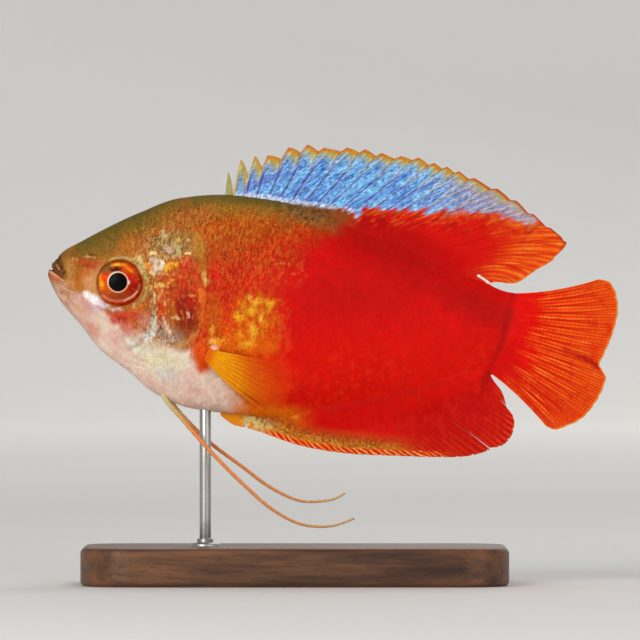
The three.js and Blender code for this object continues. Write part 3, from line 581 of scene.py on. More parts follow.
def paint_eye_rim(k):
    """The rings round the eye, painted shade in the groove round the eye, deepest at the top, and the pale
    bars below it.
    """
    r = from_eye(k.x, k.z)
    above = smooth(41.6, 42.4, k.z) * smooth(-29.8, -29, k.x) * fade(-26.6, -25.8, k.x)
    k.lay(0xC4B070, near(r - 3.42 + 0.3 * k.fine, 0.16) * above * 0.85)
    ring = near(r - 3.52 + 0.3 * k.fine, 0.27) * smooth(-27.5, -26, k.x)
    k.lay(0xAE8840, ring * 0.75)
    k.lay(0xE2D092, ring * k.flecks((0.22, 0.3, 0.22), 0.3, 81) * 0.8)
    k.lay(0xCE9260, near(r - 3.4, 0.35) * fade(-31, -29.5, k.x) * 0.6)
    # A dark brown line in the groove round the eye, stronger towards the top: painted shade.
    k.lay(0x703E18, near(r - 3.08, 0.1) * (0.15 + 0.4 * smooth(39, 42, k.z)))
    k.lay(0xFAF4F2, k.oval(-32, 37.95, 0.8, 0.5, -34, 0.5, 0.6))
    k.lay(0xFAF4F6, k.oval(-31.15, 37.35, 1, 0.6, -40, 0.5, 0.6))
    under_eye = k.stroke([(-30, 36.75), (-29.3, 36.35), (-28.6, 36.15), (-27.6, 36.1)], 0.2, 0.9, 1)
    k.lay(0xF0D8D2, under_eye * k.flecks((0.3, 0.3, 0.3), 0.72, 93, 0.3) * 0.8)
    k.lay(0xE2D8EE, k.oval(-30.45, 36.75, 0.6, 0.42, -50, 0.6, 0.6) * 0.85)
    k.lay(0xD2BAC8, k.oval(-31, 36.1, 0.9, 0.45, -38, 0.7, 0.6) * 0.65)


def paint_mouth(k):
    """The lips, the mouth's line and the nostrils, with painted shade in the mouth's slit and in the
    grooves behind the upper lip and by the nostrils, and painted highlights on the upper lip and on the
    nostril's rim.
    """
    k.strokes(
        0.4,
        (0x482618, 0.9, 0.42, 0.6, (-36.15, 43.1), (-36.05, 42.4), (-35.75, 41.7)),
        (0x4A2418, 0.9, 0.4, 0.6, (-36.5, 41.6), (-35.9, 41.25), (-35.5, 40.95)),
        (0x685434, 0.85, 0.26, 0.6, (-37, 42), (-36.6, 42.7), (-36.1, 43.4)),
        # A pale streak on the upper lip: painted highlight.
        (0xBE8C60, 0.85, 0.1, 0.7, (-36.3, 41.95), (-36, 41.4)),
        (0xA06E46, 0.8, 0.08, 0.7, (-35.95, 42.6), (-35.75, 42)),
        (0xC46842, 0.8, 0.4, 0.7, (-36.9, 40.6), (-36.3, 40.2), (-35.8, 40)),
        (0xBE967A, 0.6, 0.4, 0.8, (-36.9, 39.6), (-36.2, 39.2), (-35.4, 39.3)),
        (0xE2A28C, 0.9, 0.15, 0.6, (-37.2, 41.1), (-36.4, 40.65), (-35.5, 40.05)),
        # Near-black along the mouth's slit: painted shade.
        (SLIT_SHADE, 0.95, 0.1, 0.6, *GAPE),
        # A dark line in the crease behind the upper lip: painted shade.
        (0x5C361A, 0.7, 0.12, 0.8, (-35.9, 42.6), (-35.65, 41.3), (-35.35, 40.6), (-35.2, 40.3)),
        (0xE2BE9C, 0.6, 0.09, 0.9, (-35.6, 39.2), (-35, 38.75), (-34.4, 38.45), (-33.5, 38.4)),
        # A brown line in the groove by the nostrils: painted shade.
        (0x965424, 0.8, 0.13, 0.7, (-34, 43.15), (-32.9, 43), (-31.6, 42.7), (-30.9, 42.75)),
        # A pale line along the nostril's rim: painted highlight.
        (0xDEA470, 0.8, 0.09, 0.7, (-32.6, 43.1), (-31.9, 43.04), (-31.2, 42.9)),
        # A dark spot at the rear nostril: painted shade.
        (0x3A2212, 0.85, 0.12, 0.7, (-31.9, 43.32), (-31.4, 43.22)),
        (0xD6A264, 0.6, 0.09, 0.8, (-34.2, 43), (-34.15, 42.6)),
        (0xD69654, 0.6, 0.09, 0.8, (-33.7, 42.9), (-33.6, 42.5)),
    )


def body_paint(p):
    """The markings of the head and body, the same on the skin and on the scales."""
    k = Coat(p, RED)
    paint_rear(k)
    paint_front(k)
    paint_shoulder(k)
    under = paint_underside(k)
    head = paint_head(k, under)
    paint_cheek(k, under, head)
    paint_cheek_lines(k)
    paint_eye_rim(k)
    paint_mouth(k)
    k.spots(
        1,
        (0xD64A06, 1, -17.3, 30.2, 1.25, 2.2, 14, 0.4, 0.5),
        # A small near-white spot on top of the fin's root: painted highlight.
        (0xFAECC8, 0.95, -15.6, 31, 0.3, 0.42, 20, 0.7, 0.5),
        (0xF0BE5A, 0.7, -15.9, 31.9, 0.4, 0.4, 0, 0.8, 0.5),
    )
    return k.finished(0.16, 0.1)


def body_glints(p):
    """The colour and the share, in the fourth channel, of the fine light streaks at points p."""
    k = Coat(p, 0xCC7018)
    depth = back(k.x) - k.z
    k.lay(0xCE8E2E, fade(4, 8, depth + 0.4 * (k.x + 12)))
    k.lay(0x8E702E, fade(0.8, 3, depth))
    k.lay(0xCE4614, smooth(-7, -2, k.x) * smooth(2, 4, depth))
    k.lay(0xD45412, smooth(9, 13, depth))
    under = smooth(-0.9, 0.9, throat_edge(k.x) - k.z + 1.6 * k.wob)
    share = 0.65 * fade(-5.5, 1, k.x - streaked_until(k.z) + 4 * k.wob) * smooth(0, 1.5, depth)
    for colour, place, most in (
        (0xDA7C0A, (-10.6, 34.8, 3.8, 3.6, 0, 0.6, 0.6), 0.55),
        (0xCE641A, (-20.4, 38.4, 4, 6.4, 0, 0.4, 0.4), 0.6),
        (0x96220E, (-19.4, 36, 2.2, 2.8, 0, 0.5, 0.4), 0.4),
        (0xCAB274, (-21.6, 44.2, 3.6, 2.4, -5, 0.5, 0.4), 0.9),
        (0xD4B464, (-24.3, 40.6, 1.3, 3.6, 0, 0.5, 0.4), 0.75),
        (0xD8CCB0, (-22.8, 32.8, 3, 1.7, -25, 0.5, 0.4), 0.8),
    ):
        patch = k.oval(*place)
        k.lay(colour, patch)
        share = np.maximum(share * (1 - 0.5 * patch), most * patch)
    share = share * (1 - 0.75 * under)
    bare = fade(-29, -25, k.x)
    share = share * (1 - bare) + 0.3 * bare * (1 - under)
    share = np.maximum(share * smooth(3, 3.4, from_eye(k.x, k.z)), 0.03)
    return np.concatenate([k.c, share[..., None]], -1).clip(0, 1)


def between(points, r):
    """A smooth line through the points, read at the places r, which count along them from 0."""
    i = np.minimum(r.astype(int), len(points) - 2)
    before, after = np.maximum(i - 1, 0), np.minimum(i + 2, len(points) - 1)
    return curve(points[before], points[i], points[i + 1], points[after], (r - i)[:, None])


# How deep the foot of the back fin and the anal fin lies in the body, and half the thickness of their skin
# between the rays, in millimetres.
ROOT_IN_BODY = 2
MEMBRANE_HALF = 0.085


class Fan:
    """A fin between its rays, as grids over columns, from ray to ray, and rows, from foot to edge.

    feet and tips are one [x, z] for each ray. notch gives, for each gap between rays, how far the
    membrane's edge falls back from one ray's tip before it meets the next ray, as a share of the length.
    split is the share of the length at which the rays begin to branch. A high cut and a low lip make the
    notches slits. r counts the rays, t runs from ray to ray, v from foot to edge, and reach, edge and
    off_ray are millimetres from the foot, the edge and the nearest ray.
    """

    def __init__(self, feet, tips, notch, columns, rows, split=1.0, bend=None, cut=1.3, lip=0.14):
        feet, tips = np.array(feet, float), np.array(tips, float)
        count = len(feet)
        r = np.linspace(0, count - 1, (count - 1) * columns + 1)
        i = np.minimum(r.astype(int), count - 2)
        t = (r - i)[:, None]
        foot = feet[i] + (feet[i + 1] - feet[i]) * t
        tip = between(tips, r)
        tooth = np.minimum((t / (1 - lip)) ** cut, (1 - t) / lip)
        tip = tip + (foot - tip) * np.array(notch)[i][:, None] * tooth
        v = np.linspace(0, 1, rows)[None, :]
        grid = foot[:, None] + (tip - foot)[:, None] * v[..., None]
        if bend:
            grid = grid + bend((r / (count - 1))[:, None], v)
        self.x, self.z = grid[..., 0], grid[..., 1]
        self.r = r[:, None] + 0 * self.x
        self.t = t + 0 * self.x
        self.v = v + 0 * self.x
        length = np.linalg.norm(tip - foot, axis=1)[:, None]
        self.reach = length * self.v
        self.edge = length * (1 - self.v)
        wide = np.linalg.norm(feet[i + 1] - feet[i], axis=1)[:, None] * (1 - v)
        wide = wide + np.linalg.norm(tips[i + 1] - tips[i], axis=1)[:, None] * v
        branch = 0.25 * smooth(split, 1, v) if split < 1 else 0 * v
        self.off_ray = np.minimum(np.abs(self.t - branch), np.abs(1 - branch - self.t)) * wide

    def rays(self, width):
        """1 along the middle of each ray, falling to 0 away from it, with faint joints along it."""
        joints = 1 - 0.16 * near((self.reach / 0.55) % 1 - 0.5, 0.16)
        return near(self.off_ray, width) * joints

    def streaks(self, length, breadth, seed):
        """Noise drawn out along the rays."""
        return rough(np.stack([self.reach, 0 * self.reach, self.r], -1), (length, 1, breadth), seed)

    def points(self, level, half):
        """The two faces of the fin, half a thickness to each side of its middle surface."""
        return np.stack([np.stack([self.x, level + side * half, self.z], -1) for side in (-1, 1)])

    def clear_of_body(self):
        """0 where the fin's root lies in the body, rising to 1 a little way out."""
        return smooth(0, 3, self.reach - ROOT_IN_BODY)

    def middle(self):
        """The fin's points, flat in the plane of the body's midline."""
        return np.stack([self.x, 0 * self.x, self.z], -1)


def half_breadth(x, z):
    """How far the plain body reaches out sideways at [x, z]."""
    above = z > waist(x)
    span = np.where(above, back(x) - waist(x), waist(x) - belly(x))
    lift = (np.abs(z - waist(x)) / span).clip(0, 1)
    return flank(x) * (1 - lift**2) ** (np.where(above, crest(x), keel(x)) / 2)


# A fin's root widens from this depth in the body, to this half thickness or this share of the body's.
FLARE_DEPTH = 1.8
FLARE_THIN = 0.32
FLARE_SHARE = 0.92


def root_flare(fan, edge, up, broad):
    """Half the extra thickness at a fin's root. Where broad is 1 it leads smoothly into the flank."""
    out = up * (fan.z - edge(fan.x))
    body = FLARE_SHARE * half_breadth(fan.x, edge(fan.x) - up * FLARE_DEPTH)
    return (FLARE_THIN + (body - FLARE_THIN) * broad) * fade(-FLARE_DEPTH, 0.8 + 1.6 * broad, out)


def dorsal_fin():
    """The back fin: stiff spines with leaves of skin between them, then soft rays out to a lobe."""
    spine_tips = [(-13.8, 54.3), (-12.2, 55.8), (-10.3, 56.3), (-8.6, 56.4), (-5.9, 57.4), (-3.4, 57.8),
                  (-1.2, 57.4), (1.8, 57.4), (4.2, 57.2), (6.4, 56.7), (8.9, 56.3), (11.2, 56.1),
                  (13.3, 55.4), (15, 54.9), (16.6, 54.3), (18.6, 53.4)]
    soft_edge = [(21.6, 52), (24.6, 50.1), (26.7, 48.4), (29, 46.6), (30.4, 45.8), (30.7, 44.9),
                 (29.6, 43.1), (27.8, 42.1), (26.3, 41), (23.8, 39.5), (22.2, 39.6), (21.2, 39.9)]
    tips = np.array([*spine_tips, *along(soft_edge, 9)])
    share = np.linspace(0, 1, len(tips))
    first_foot, last_foot = -14.45, 18.8
    x = first_foot + (last_foot - first_foot) * share**1.06
    feet = np.stack([x, back(x) - ROOT_IN_BODY], -1)
    gap = np.arange(len(tips) - 1)
    notch = np.interp(gap, (0, 1, 2, 4, 5, 9, 15, 24), (0.68, 0.36, 0.21, 0.12, 0.06, 0.045, 0.03, 0.004))

    def bend(share, v):
        sweep = smooth(0.62, 0.9, share) * fade(0.94, 1, share)
        lift = 1.2 * sweep * 4 * v * (1 - v)
        return np.stack([0 * lift, lift], -1)

    fan = Fan(feet, tips, notch, 14, 64, 0.55, bend)
    spiny = fade(14, 17, fan.r)
    ridge = fan.rays(0.16) * (1 - 0.3 * fan.v) * fan.clear_of_body()
    root = near(np.maximum(fan.reach - ROOT_IN_BODY, 0), 0.9)
    broad = smooth(-8, 6, fan.x) * fade(21.5, 24, fan.r)
    half = MEMBRANE_HALF + (0.1 + 0.08 * spiny) * ridge + root_flare(fan, back, 1, broad)
    level = 0.35 * fan.v * np.sin(fan.r * 0.62 + 1) + 0.07 * np.sin(2 * np.pi * fan.t) * fan.v * (1 - root)
    return fan, fan.points(level, half), dorsal_paint(fan)


def dorsal_red(k, fan, ripple, border):
    """The red part behind and below, with orange rays and an uneven upper edge."""
    k.lay(0xD01206, 0.7 * k.oval(20, 45.5, 9, 3.5, -12, 0.6, 0.4))
    fiery = smooth(19.5, 27.5, k.x + 2.5 * k.wob + 2.6 * fade(41, 44, k.z))
    bands = 0.5 - 0.5 * np.cos(6 * np.pi * fan.t)
    glow = fan.streaks(2.4, 0.3, 117)
    k.lay(0xEC460E, fiery * 0.6)
    k.lay(0xF47A1A, fiery * bands * smooth(0.3, 0.6, glow))
    k.lay(0xFAA03C, fiery * bands * smooth(0.6, 0.8, glow) * 0.7)
    k.lay(0xC41408, fiery * near(fan.off_ray, 0.13) * 0.85)
    fringe = near(border + 0.35, 0.55)
    k.lay(0xCE5C1C, fringe * smooth(2.4, 4, k.x) * smooth(0.35, 0.6, ripple) * 0.85)


def dorsal_sea(fan, ripple, blotch, foot_z):
    """The blue part's colours, rippled with light and dark along a slant."""
    sea = Coat(fan.middle(), BLUE)
    sea.lay(0x7680C8, fade(-10, -4, sea.x) * 0.6)
    sea.lay(0x70AEE8, smooth(-4, 2, sea.x) * 0.4)
    sea.lay(0x3662BA, fade(0.26, 0.5, ripple) * 0.9)
    sea.lay(0x86CEF6, smooth(0.5, 0.72, ripple) * 0.9)
    sea.lay(0x6EBCF0, smooth(0.45, 0.8, blotch) * 0.55)
    sea.lay(0x223482, sea.flecks((0.22, 0.3, 0.3), 0.2, 111) * 0.75)
    sea.lay(0xB4DAF8, sea.flecks((0.24, 0.3, 0.24), 0.14, 113) * 0.5)
    sea.lay(0x8E84A8, 0.75 * smooth(11, 21, sea.x))
    shadow = near(fan.t - 0.12, 0.07) * smooth(0.06, 0.2, fan.v) * fade(0.62, 0.86, fan.v)
    sea.lay(0x3E3C8E, shadow * (0.55 + 0.4 * fade(0, 14, fan.r)))
    lit = near(fan.t - 0.97, 0.05) + near(fan.t - 0.24, 0.05)
    sea.lay(0xB4B0E2, lit.clip(0, 1) * 0.5 * fade(0.6, 0.8, fan.v))
    dashes = rough(np.stack([fan.r, 0 * fan.r, 0.25 * sea.z], -1), (0.16, 1, 1), 115)
    foot = fade(0.1, 0.55, sea.z - foot_z - 1.2 * (dashes - 0.5))
    sea.lay(0xD6E0F6, foot * 0.8 * fade(2, 4.5, sea.x))
    sea.lay(0xDECEA4, near(fan.off_ray, 0.11) * smooth(0.6, 0.85, fan.v) * 0.75)
    cream = (near(fan.off_ray, 0.1) + 0.7 * near(fan.t - 0.5, 0.07)) * smooth(12, 17, fan.r)
    sea.lay(0xD6C0B0, cream * smooth(0.35, 0.65, fan.v) * 0.85)
    sea.lay(0xC4A096, smooth(13, 18, sea.x) * fade(1.2, 2.6, fan.edge) * 0.5)
    return sea.c


def dorsal_margin(k, fan):
    """The margin: pale olive inside, then gold, orange at the edge and reddest at the ray tips."""
    width = np.interp(k.x, (-14, -9, 0, 12, 22, 28), (1.9, 1.25, 1.15, 1.1, 0.9, 0.5)) * (0.8 + 0.4 * fan.t)
    depth = fan.edge / width + 0.5 * k.fine
    not_tail = fade(16.6, 18.6, fan.r)
    k.lay(0x96A49C, fade(1.1, 1.9, depth) * 0.65 * not_tail)
    k.lay(0xAC9C54, fade(0.7, 1.25, depth) * 0.95 * not_tail)
    k.lay(0xCA7C12, fade(0.25, 0.7, depth) * not_tail * 0.9 * smooth(1.4, 3.4, fan.r))
    k.lay(0xD85408, fade(0.1, 0.6, fan.edge) * near(np.minimum(fan.t, 1 - fan.t), 0.15) * 0.9)
    k.lay(0xBE2C0A, fade(0.1, 0.5, fan.edge) * smooth(15, 21, k.x) * fade(20, 21, fan.r) * 0.9)
    k.lay(0xF08228, fade(0.08, 0.3, fan.edge) * smooth(20, 21, fan.r) * 0.7)
    bone = near(fan.off_ray, 0.11) * fade(0.8, 1.4, depth) * smooth(0.3, 0.8, fan.edge)
    k.lay(0xECD896, bone * not_tail * 0.7)


def dorsal_paint(fan):
    """Red below and behind, blue above, with an olive first leaf and the second half gold."""
    above = back(fan.x)
    k = Coat(fan.middle(), RED)
    skirt = body_paint(np.stack([fan.x, 0 * fan.x, np.minimum(fan.z, above)], -1))
    k.blend(skirt, fade(0, 2.6, k.z - above))
    turned = np.stack([0.85 * k.x + 0.53 * k.z, 0 * k.x, 0.85 * k.z - 0.53 * k.x], -1)
    ripple = rough(turned, (1.1, 1, 0.22), 101)
    blotch = rough(turned, (2.4, 1, 0.8), 105)
    at = -14, -8.5, -4.2, 0, 2.4, 3.3, 3.9, 6.8, 7.7, 12.8, 16.7, 19.3, 22, 24.6, 26.4, 27.8
    floor = np.interp(k.x, at, (50, 50.2, 50, 49.5, 49.1, 48.4, 49.6, 49.5, 49.1, 49.2, 49.4, 49.1, 48.5,
                                47.8, 47.2, 48.6))
    ragged = (1.6 * (blotch - 0.5) + 1.4 * (ripple - 0.5)) * smooth(-2, 3, k.x) + 0.9 * k.fine
    border = k.z - floor + ragged
    dorsal_red(k, fan, ripple, border)
    ember = fade(0.8, 3.6, floor - k.z + 1.5 * k.wob) * smooth(3, 6, k.x)
    k.lay(0xEA601C, ember * smooth(0.54, 0.7, rough(turned, (0.8, 1, 0.2), 107)) * 0.7)
    k.lay(0x8C0E0A, ember * smooth(0.54, 0.7, rough(turned, (0.9, 1, 0.22), 109)) * 0.7)
    k.blend(dorsal_sea(fan, ripple, blotch, np.maximum(floor, above)), smooth(-0.35, 0.35, border))
    dorsal_margin(k, fan)
    k.lay(0xA8A064, fade(0.5, 0.9, fan.r) * 0.9)
    k.lay(0xCEB05C, near(fan.r - 1, 0.14) * 0.8)
    k.lay(0x7AB0CC, near(fan.r - 1.42, 0.22) * 0.75 * fade(0.5, 0.75, fan.v))
    k.lay(0x704284, near(fan.r - 1.9, 0.14) * 0.5 * fade(0.5, 0.75, fan.v))
    # A thin white streak where the fin's last rays meet the back: painted reflection.
    k.lay(REFLECTION_WHITE, k.stroke([(19.1, 40.6), (19.8, 40.15), (20.5, 39.6)], 0.13, 0.6))
    return k.finished(0.18)


def anal_fin():
    """The anal fin, with a long even edge and small lobes behind."""
    front = along([(-14.8, 22.2), (-13.4, 21.1), (-12.2, 20.8), (-9.3, 19.9), (-4.3, 18.2), (1.6, 17.2),
                   (7.5, 16.9), (13.4, 16.7), (17.6, 16.8), (20.5, 17.6)], 19)
    rear = along([(20.6, 17.9), (22.4, 18.3), (23.6, 19.8), (23.8, 21.8), (22.9, 23.2)], 6)
    last = along([(22.8, 23.5), (22.3, 25.2), (21, 26.8)], 3)
    tips = np.concatenate([front, rear, last])
    first_foot, last_foot = -14.9, 20.2
    x = first_foot + (last_foot - first_foot) * np.linspace(0, 1, len(tips)) ** 0.92
    feet = np.stack([x, belly(x) + ROOT_IN_BODY], -1)
    notch = np.full(len(tips) - 1, 0.02)
    notch[len(front) - 1] = 0.36
    notch[len(front) + len(rear) - 1] = 0.2
    notch[:3] = 0, 0.2, 0.02
    fan = Fan(feet, tips, notch, 20, 56, 0.45, cut=14, lip=0.04)
    ridge = fan.rays(0.17) * (1 - 0.45 * fan.v) * fan.clear_of_body() * smooth(0.3, 0.85, fan.v)
    root = near(np.maximum(fan.reach - ROOT_IN_BODY, 0), 0.9)
    broad = smooth(-12, 2, fan.x) * fade(24.5, 27, fan.r)
    half = MEMBRANE_HALF + 0.13 * ridge + root_flare(fan, belly, -1, broad)
    level = 0.3 * fan.v * np.sin(fan.r * 0.5) + 0.04 * np.sin(2 * np.pi * fan.t) * fan.v * (1 - root)
    return fan, fan.points(level, half), anal_paint(fan)


def anal_band(k, fan, rear):
    """Towards the front an olive and gold band with dark specks lies just inside the margin."""
    inner = fan.edge + 0.7 * k.fine + 0.6 * k.wob
    ahead = fade(-9, -1.5, k.x + 2 * k.wob)
    k.lay(0xE47C0E, ahead * 0.85)
    k.lay(0xECB032, ahead * k.flecks((0.4, 0.5, 0.5), 0.35, 129) * 0.7)
    band = fade(1.7, 2.9, inner) * (1 - rear)
    k.lay(0xCE4E12, fade(2.6, 4.6, inner) * (1 - rear) * 0.7)
    k.lay(0xBA601A, band * 0.85)
    spotted = fade(2.2, 4.2, inner) * (1 - rear) * smooth(0.8, 1.6, inner)
    k.lay(0x543614, spotted * k.flecks((0.22, 0.22, 0.22), 0.42, 123, 0.3) * 0.8)
    k.lay(0xDE9222, band * fade(0.8, 1.5, inner) * 0.7)
    k.lay(0xE4AC38, band * k.flecks((0.2, 0.2, 0.2), 0.35, 127, 0.3) * 0.6)
    pale = fade(-9, -6.5, k.x) * smooth(-12.2, -11.4, k.x)
    k.lay(0xD4C482, band * k.flecks((0.4, 0.4, 0.4), 0.45, 125, 0.3) * pale * 0.85)
    k.lay(0xDE8818, fade(-12.6, -11.6, k.x) * 0.9)


def anal_margin(k, fan, bands):
    """The margin is orange and red in slanting, uneven stripes, and red with dark gaps on the lobes."""
    rim = fade(0.75, 1.25, fan.edge + 0.8 * k.fine + 0.6 * k.torn)
    stripes = 0.5 + 0.5 * np.cos(4 * np.pi * fan.t + 4 * fan.edge + 7 * k.torn)
    front_rim = rim * smooth(-10, -7, k.x) * fade(11, 17, k.x)
    k.lay(0xDE400C, front_rim)
    k.lay(0xCC1408, front_rim * smooth(0.35, 0.75, stripes) * 0.9)
    k.lay(0xF68E2C, front_rim * smooth(0.55, 0.85, 1 - stripes) * 0.9)
    k.lay(0xFCC47C, front_rim * smooth(0.76, 0.97, 1 - stripes) * smooth(-0.08, 0.1, k.torn) * 0.8)
    lobes = smooth(16.5, 19, fan.r) * fade(0.7, 1.5, fan.edge)
    k.lay(0xF0341A, lobes * bands * 0.8)
    k.lay(0xA80E0A, lobes * (1 - bands) * 0.7)
    k.lay(0xE8783C, fade(0.05, 0.2, fan.edge) * 0.6)
    k.lay(0xE27856, near(fan.r - 18.55, 0.05) * smooth(0.5, 0.62, fan.v) * 0.7)
    k.lay(0x600A0A, near(fan.r - 18.86, 0.05) * smooth(0.45, 0.6, fan.v) * 0.7)


def anal_paint(fan):
    """Deep red with lighter bands, a gold band in front and a striped margin."""
    k = Coat(fan.middle(), 0xC00806)
    skirt = body_paint(np.stack([fan.x, 0 * fan.x, np.maximum(fan.z, belly(fan.x))], -1))
    k.blend(skirt, fade(0, 2.2, belly(k.x) - k.z))
    bands = 0.5 - 0.5 * np.cos(4 * np.pi * fan.t)
    rear = smooth(4, 13, k.x + 2 * k.wob)
    k.lay(0xDA0C08, fade(6, 13, k.x) * 0.7)
    k.lay(0xCE1A0A, k.flecks((0.5, 1, 0.9), 0.4, 121) * 0.6)
    k.lay(0xDE4614, bands * smooth(0.45, 1, fan.v) * rear * 0.3)
    anal_band(k, fan, rear)
    anal_margin(k, fan, bands)
    # Where the fin's root flares out of the body it is darkened by a fifth: painted shade that matches it
    # to the shaded underside of the body above.
    shaded_root_flare = smooth(0, 1.9, fan.z - belly(fan.x)) * smooth(-6, -1, fan.x) * fade(12, 17, fan.x)
    k.c *= (1 - 0.2 * shaded_root_flare)[..., None]
    return k.finished(0.2)


def tail_fin():
    """The tail fin in two lobes that meet in a shallow dent."""
    upper = along([(34.9, 40.1), (36.5, 39.7), (37.3, 38.1), (37.5, 35.7), (36.7, 32.6), (35.1, 29)], 10)
    lower = along([(35.2, 28.5), (35.9, 27), (34.7, 24.1), (32.8, 21.8), (30.8, 20.8), (28.9, 20.2),
                   (28.1, 20.7)], 10)
    tips = np.concatenate([upper, lower])
    feet = along([(23.7, 38.25), (22.9, 35.4), (22, 32.4), (21.2, 29.9), (20.5, 27.9)], len(tips))
    notch = np.full(len(tips) - 1, 0.006)

    def bend(share, v):
        sag = (0.9 * share - 0.45) * 4 * v * (1 - v)
        return np.stack([0 * sag, sag], -1)

    fan = Fan(feet, tips, notch, 20, 96, 0.3, bend)
    ridge = fan.rays(0.15) * (1 - 0.5 * fan.v) * smooth(0.08, 0.35, fan.v)
    root = (1 - (fan.v / 0.6).clip(0, 1)) ** 1.5
    half = 0.08 + 0.13 * ridge + root * np.sin(np.pi * (0.1 + 0.8 * fan.r / fan.r.max()))
    level = 0.45 * fan.v**1.5 * np.sin(fan.r * 0.42 + 0.6)
    return fan, fan.points(level, half), tail_paint(fan)


def tail_paint(fan):
    """Red at the root, with orange streaks between dark rays and an orange edge."""
    k = Coat(fan.middle(), 0xD70906)
    x = k.x + 2.2 * k.wob
    k.lay(0xE90F06, 0.7 * smooth(23, 25.5, x))
    streaks = fan.streaks(3.2, 0.32, 131)
    bands = 0.5 - 0.5 * np.cos(4 * np.pi * fan.t)
    start = smooth(0.22, 0.5, fan.v + 0.5 * (streaks - 0.5) + 0.3 * k.torn)
    outer = smooth(0.45, 0.95, fan.v + 0.5 * (streaks - 0.5))
    low = smooth(12, 17, fan.r)
    joints = 0.75 + 0.25 * np.cos(2 * np.pi * fan.reach / 0.55)
    k.lay(0xEA2C08, start * 0.7)
    k.lay(0xFC7610, start * bands * joints * 0.9 * (1 - 0.3 * low))
    k.lay(0xF46C10, outer * (0.25 + 0.45 * bands) * (1 - 0.35 * low))
    k.lay(0xDE2208, start * smooth(0.02, 0.3, k.torn) * 0.7)
    k.lay(0xFF922C, start * low * smooth(0.12, 0.3, k.speck) * smooth(-0.05, 0.2, k.torn) * 0.45)
    k.lay(0xFE9C3C, smooth(0.24, 0.4, fan.v) * bands * smooth(0.56, 0.76, streaks) * joints * 0.85)
    dark = near(fan.off_ray, 0.1) + 0.7 * near(np.abs(fan.t - 0.5), 0.05) * smooth(0.5, 0.8, fan.v)
    k.lay(0xBE0E06, dark.clip(0, 1) * smooth(0.2, 0.45, fan.v) * 0.85)
    k.lay(0xCE1808, low * smooth(0.35, 0.6, 1 - streaks) * 0.55 * fade(0.75, 1, fan.v))
    k.lay(0xB80C08, k.stroke([(30.4, 31), (33, 29.8)], 0.22, 0.9, 0.6) * 0.7)
    k.lay(0xB00C08, k.stroke([(32.6, 30), (34, 29.3), (35, 28.6)], 0.36, 0.9, 0.6) * 0.85)
    k.lay(0xF69632, fade(0.1, 0.3, fan.edge) * 0.75)
    sides = np.minimum(fan.r, fan.r.max() - fan.r)
    k.lay(0xF48028, fade(0.06, 0.22, sides) * smooth(0.15, 0.3, fan.v) * 0.7)
    # Darker red at the fin's very root along the crease: painted shade.
    k.lay(0xA00A08, fade(0.2, 0.7, fan.reach) * 0.3)
    return k.finished(0.16)


def pectoral_fin():
    """The left pectoral fin: a clear fan that lies back along the flank from a fleshy root."""
    tips = along([(-5.7, 29.2), (-5.2, 27.8), (-5.5, 25.8), (-6, 24.3), (-7, 22.9), (-8.4, 22)], 10)
    feet = along([(-16.3, 30.95), (-16.9, 29.55)], 10)
    root_y = half_breadth(-16.6, 30.2) + 0.55

    def bend(share, v):
        sag = -0.5 * share * 4 * v * (1 - v)
        return np.stack([0 * sag, sag], -1)

    fan = Fan(feet, tips, np.full(9, 0.012), 14, 72, 0.45, bend)
    ridge = fan.rays(0.13) * (1 - 0.35 * fan.v)
    half = 0.05 + 0.09 * ridge + 0.5 * near(fan.reach, 1.6)
    inward = 1.9 * fan.v * fan.r / fan.r.max() + 0.5 * near(fan.reach, 1.2)
    level = inward - root_y + 0.12 * fan.v * np.sin(fan.r * 1.3)
    clear = 0.95 - 0.9 * smooth(0.25, 0.9, fan.v + 0.12 * fade(0, 6, fan.r))
    clear = clear + 0.5 * near(fan.off_ray, 0.1) * smooth(0.1, 0.4, fan.v) * fade(0.7, 0.95, fan.v)
    paint = pectoral_paint(fan)
    return fan, fan.points(level, half), np.concatenate([paint, clear.clip(0, 0.97)[..., None]], -1)


def pectoral_paint(fan):
    """Golden orange, redder outwards, with fine dark rays and darker lines along both edges."""
    k = Coat(fan.middle(), 0xF09C0A)
    out = fan.v + 0.3 * k.wob + 0.16 * fade(0, 5, fan.r) - 0.16 * smooth(3, 7, fan.r)
    k.lay(0xF87A08, smooth(0.32, 0.56, out))
    k.lay(0xFF600E, smooth(0.52, 0.78, out))
    k.lay(0xFA3E0E, smooth(0.74, 0.98, out))
    streaks = fan.streaks(3, 0.5, 161)
    lit = near(fan.t - 0.5, 0.16) * smooth(0.4, 0.65, streaks) * smooth(0.12, 0.3, fan.v)
    k.lay(0xFFA01A, lit * fade(0.35, 0.6, out) * 0.7)
    k.lay(0xFF5C16, lit * smooth(0.4, 0.6, out) * 0.6)
    k.lay(0xCC3E06, near(fan.off_ray, 0.09) * smooth(0.16, 0.4, fan.v) * fade(0.4, 0.6, out) * 0.7)
    k.lay(0xBE1606, near(fan.off_ray, 0.09) * smooth(0.4, 0.6, out) * 0.5)
    lowest = smooth(6.5, 8.5, fan.r) * smooth(0.45, 0.65, fan.v)
    k.lay(0x8C1E0A, near(fan.off_ray, 0.09) * lowest * 0.8)
    k.lay(0xE2540C, fade(0.4, 1.5, fan.reach) * 0.8)
    first = fade(0.12, 0.3, fan.r) * smooth(0.06, 0.15, fan.v) * fade(0.45, 0.7, fan.v)
    k.lay(0x78240C, first * 0.85)
    return k.finished(0.14)


def grid_faces(columns, rows, ring=False):
    """Four-sided faces over a grid of points that are numbered along each column in turn."""
    i = np.arange(columns if ring else columns - 1)[:, None]
    j = np.arange(rows - 1)[None, :]
    a, b = i * rows + j, (i + 1) % columns * rows + j
    return np.stack([a, b, b + 1, a + 1], -1).reshape(-1, 4)


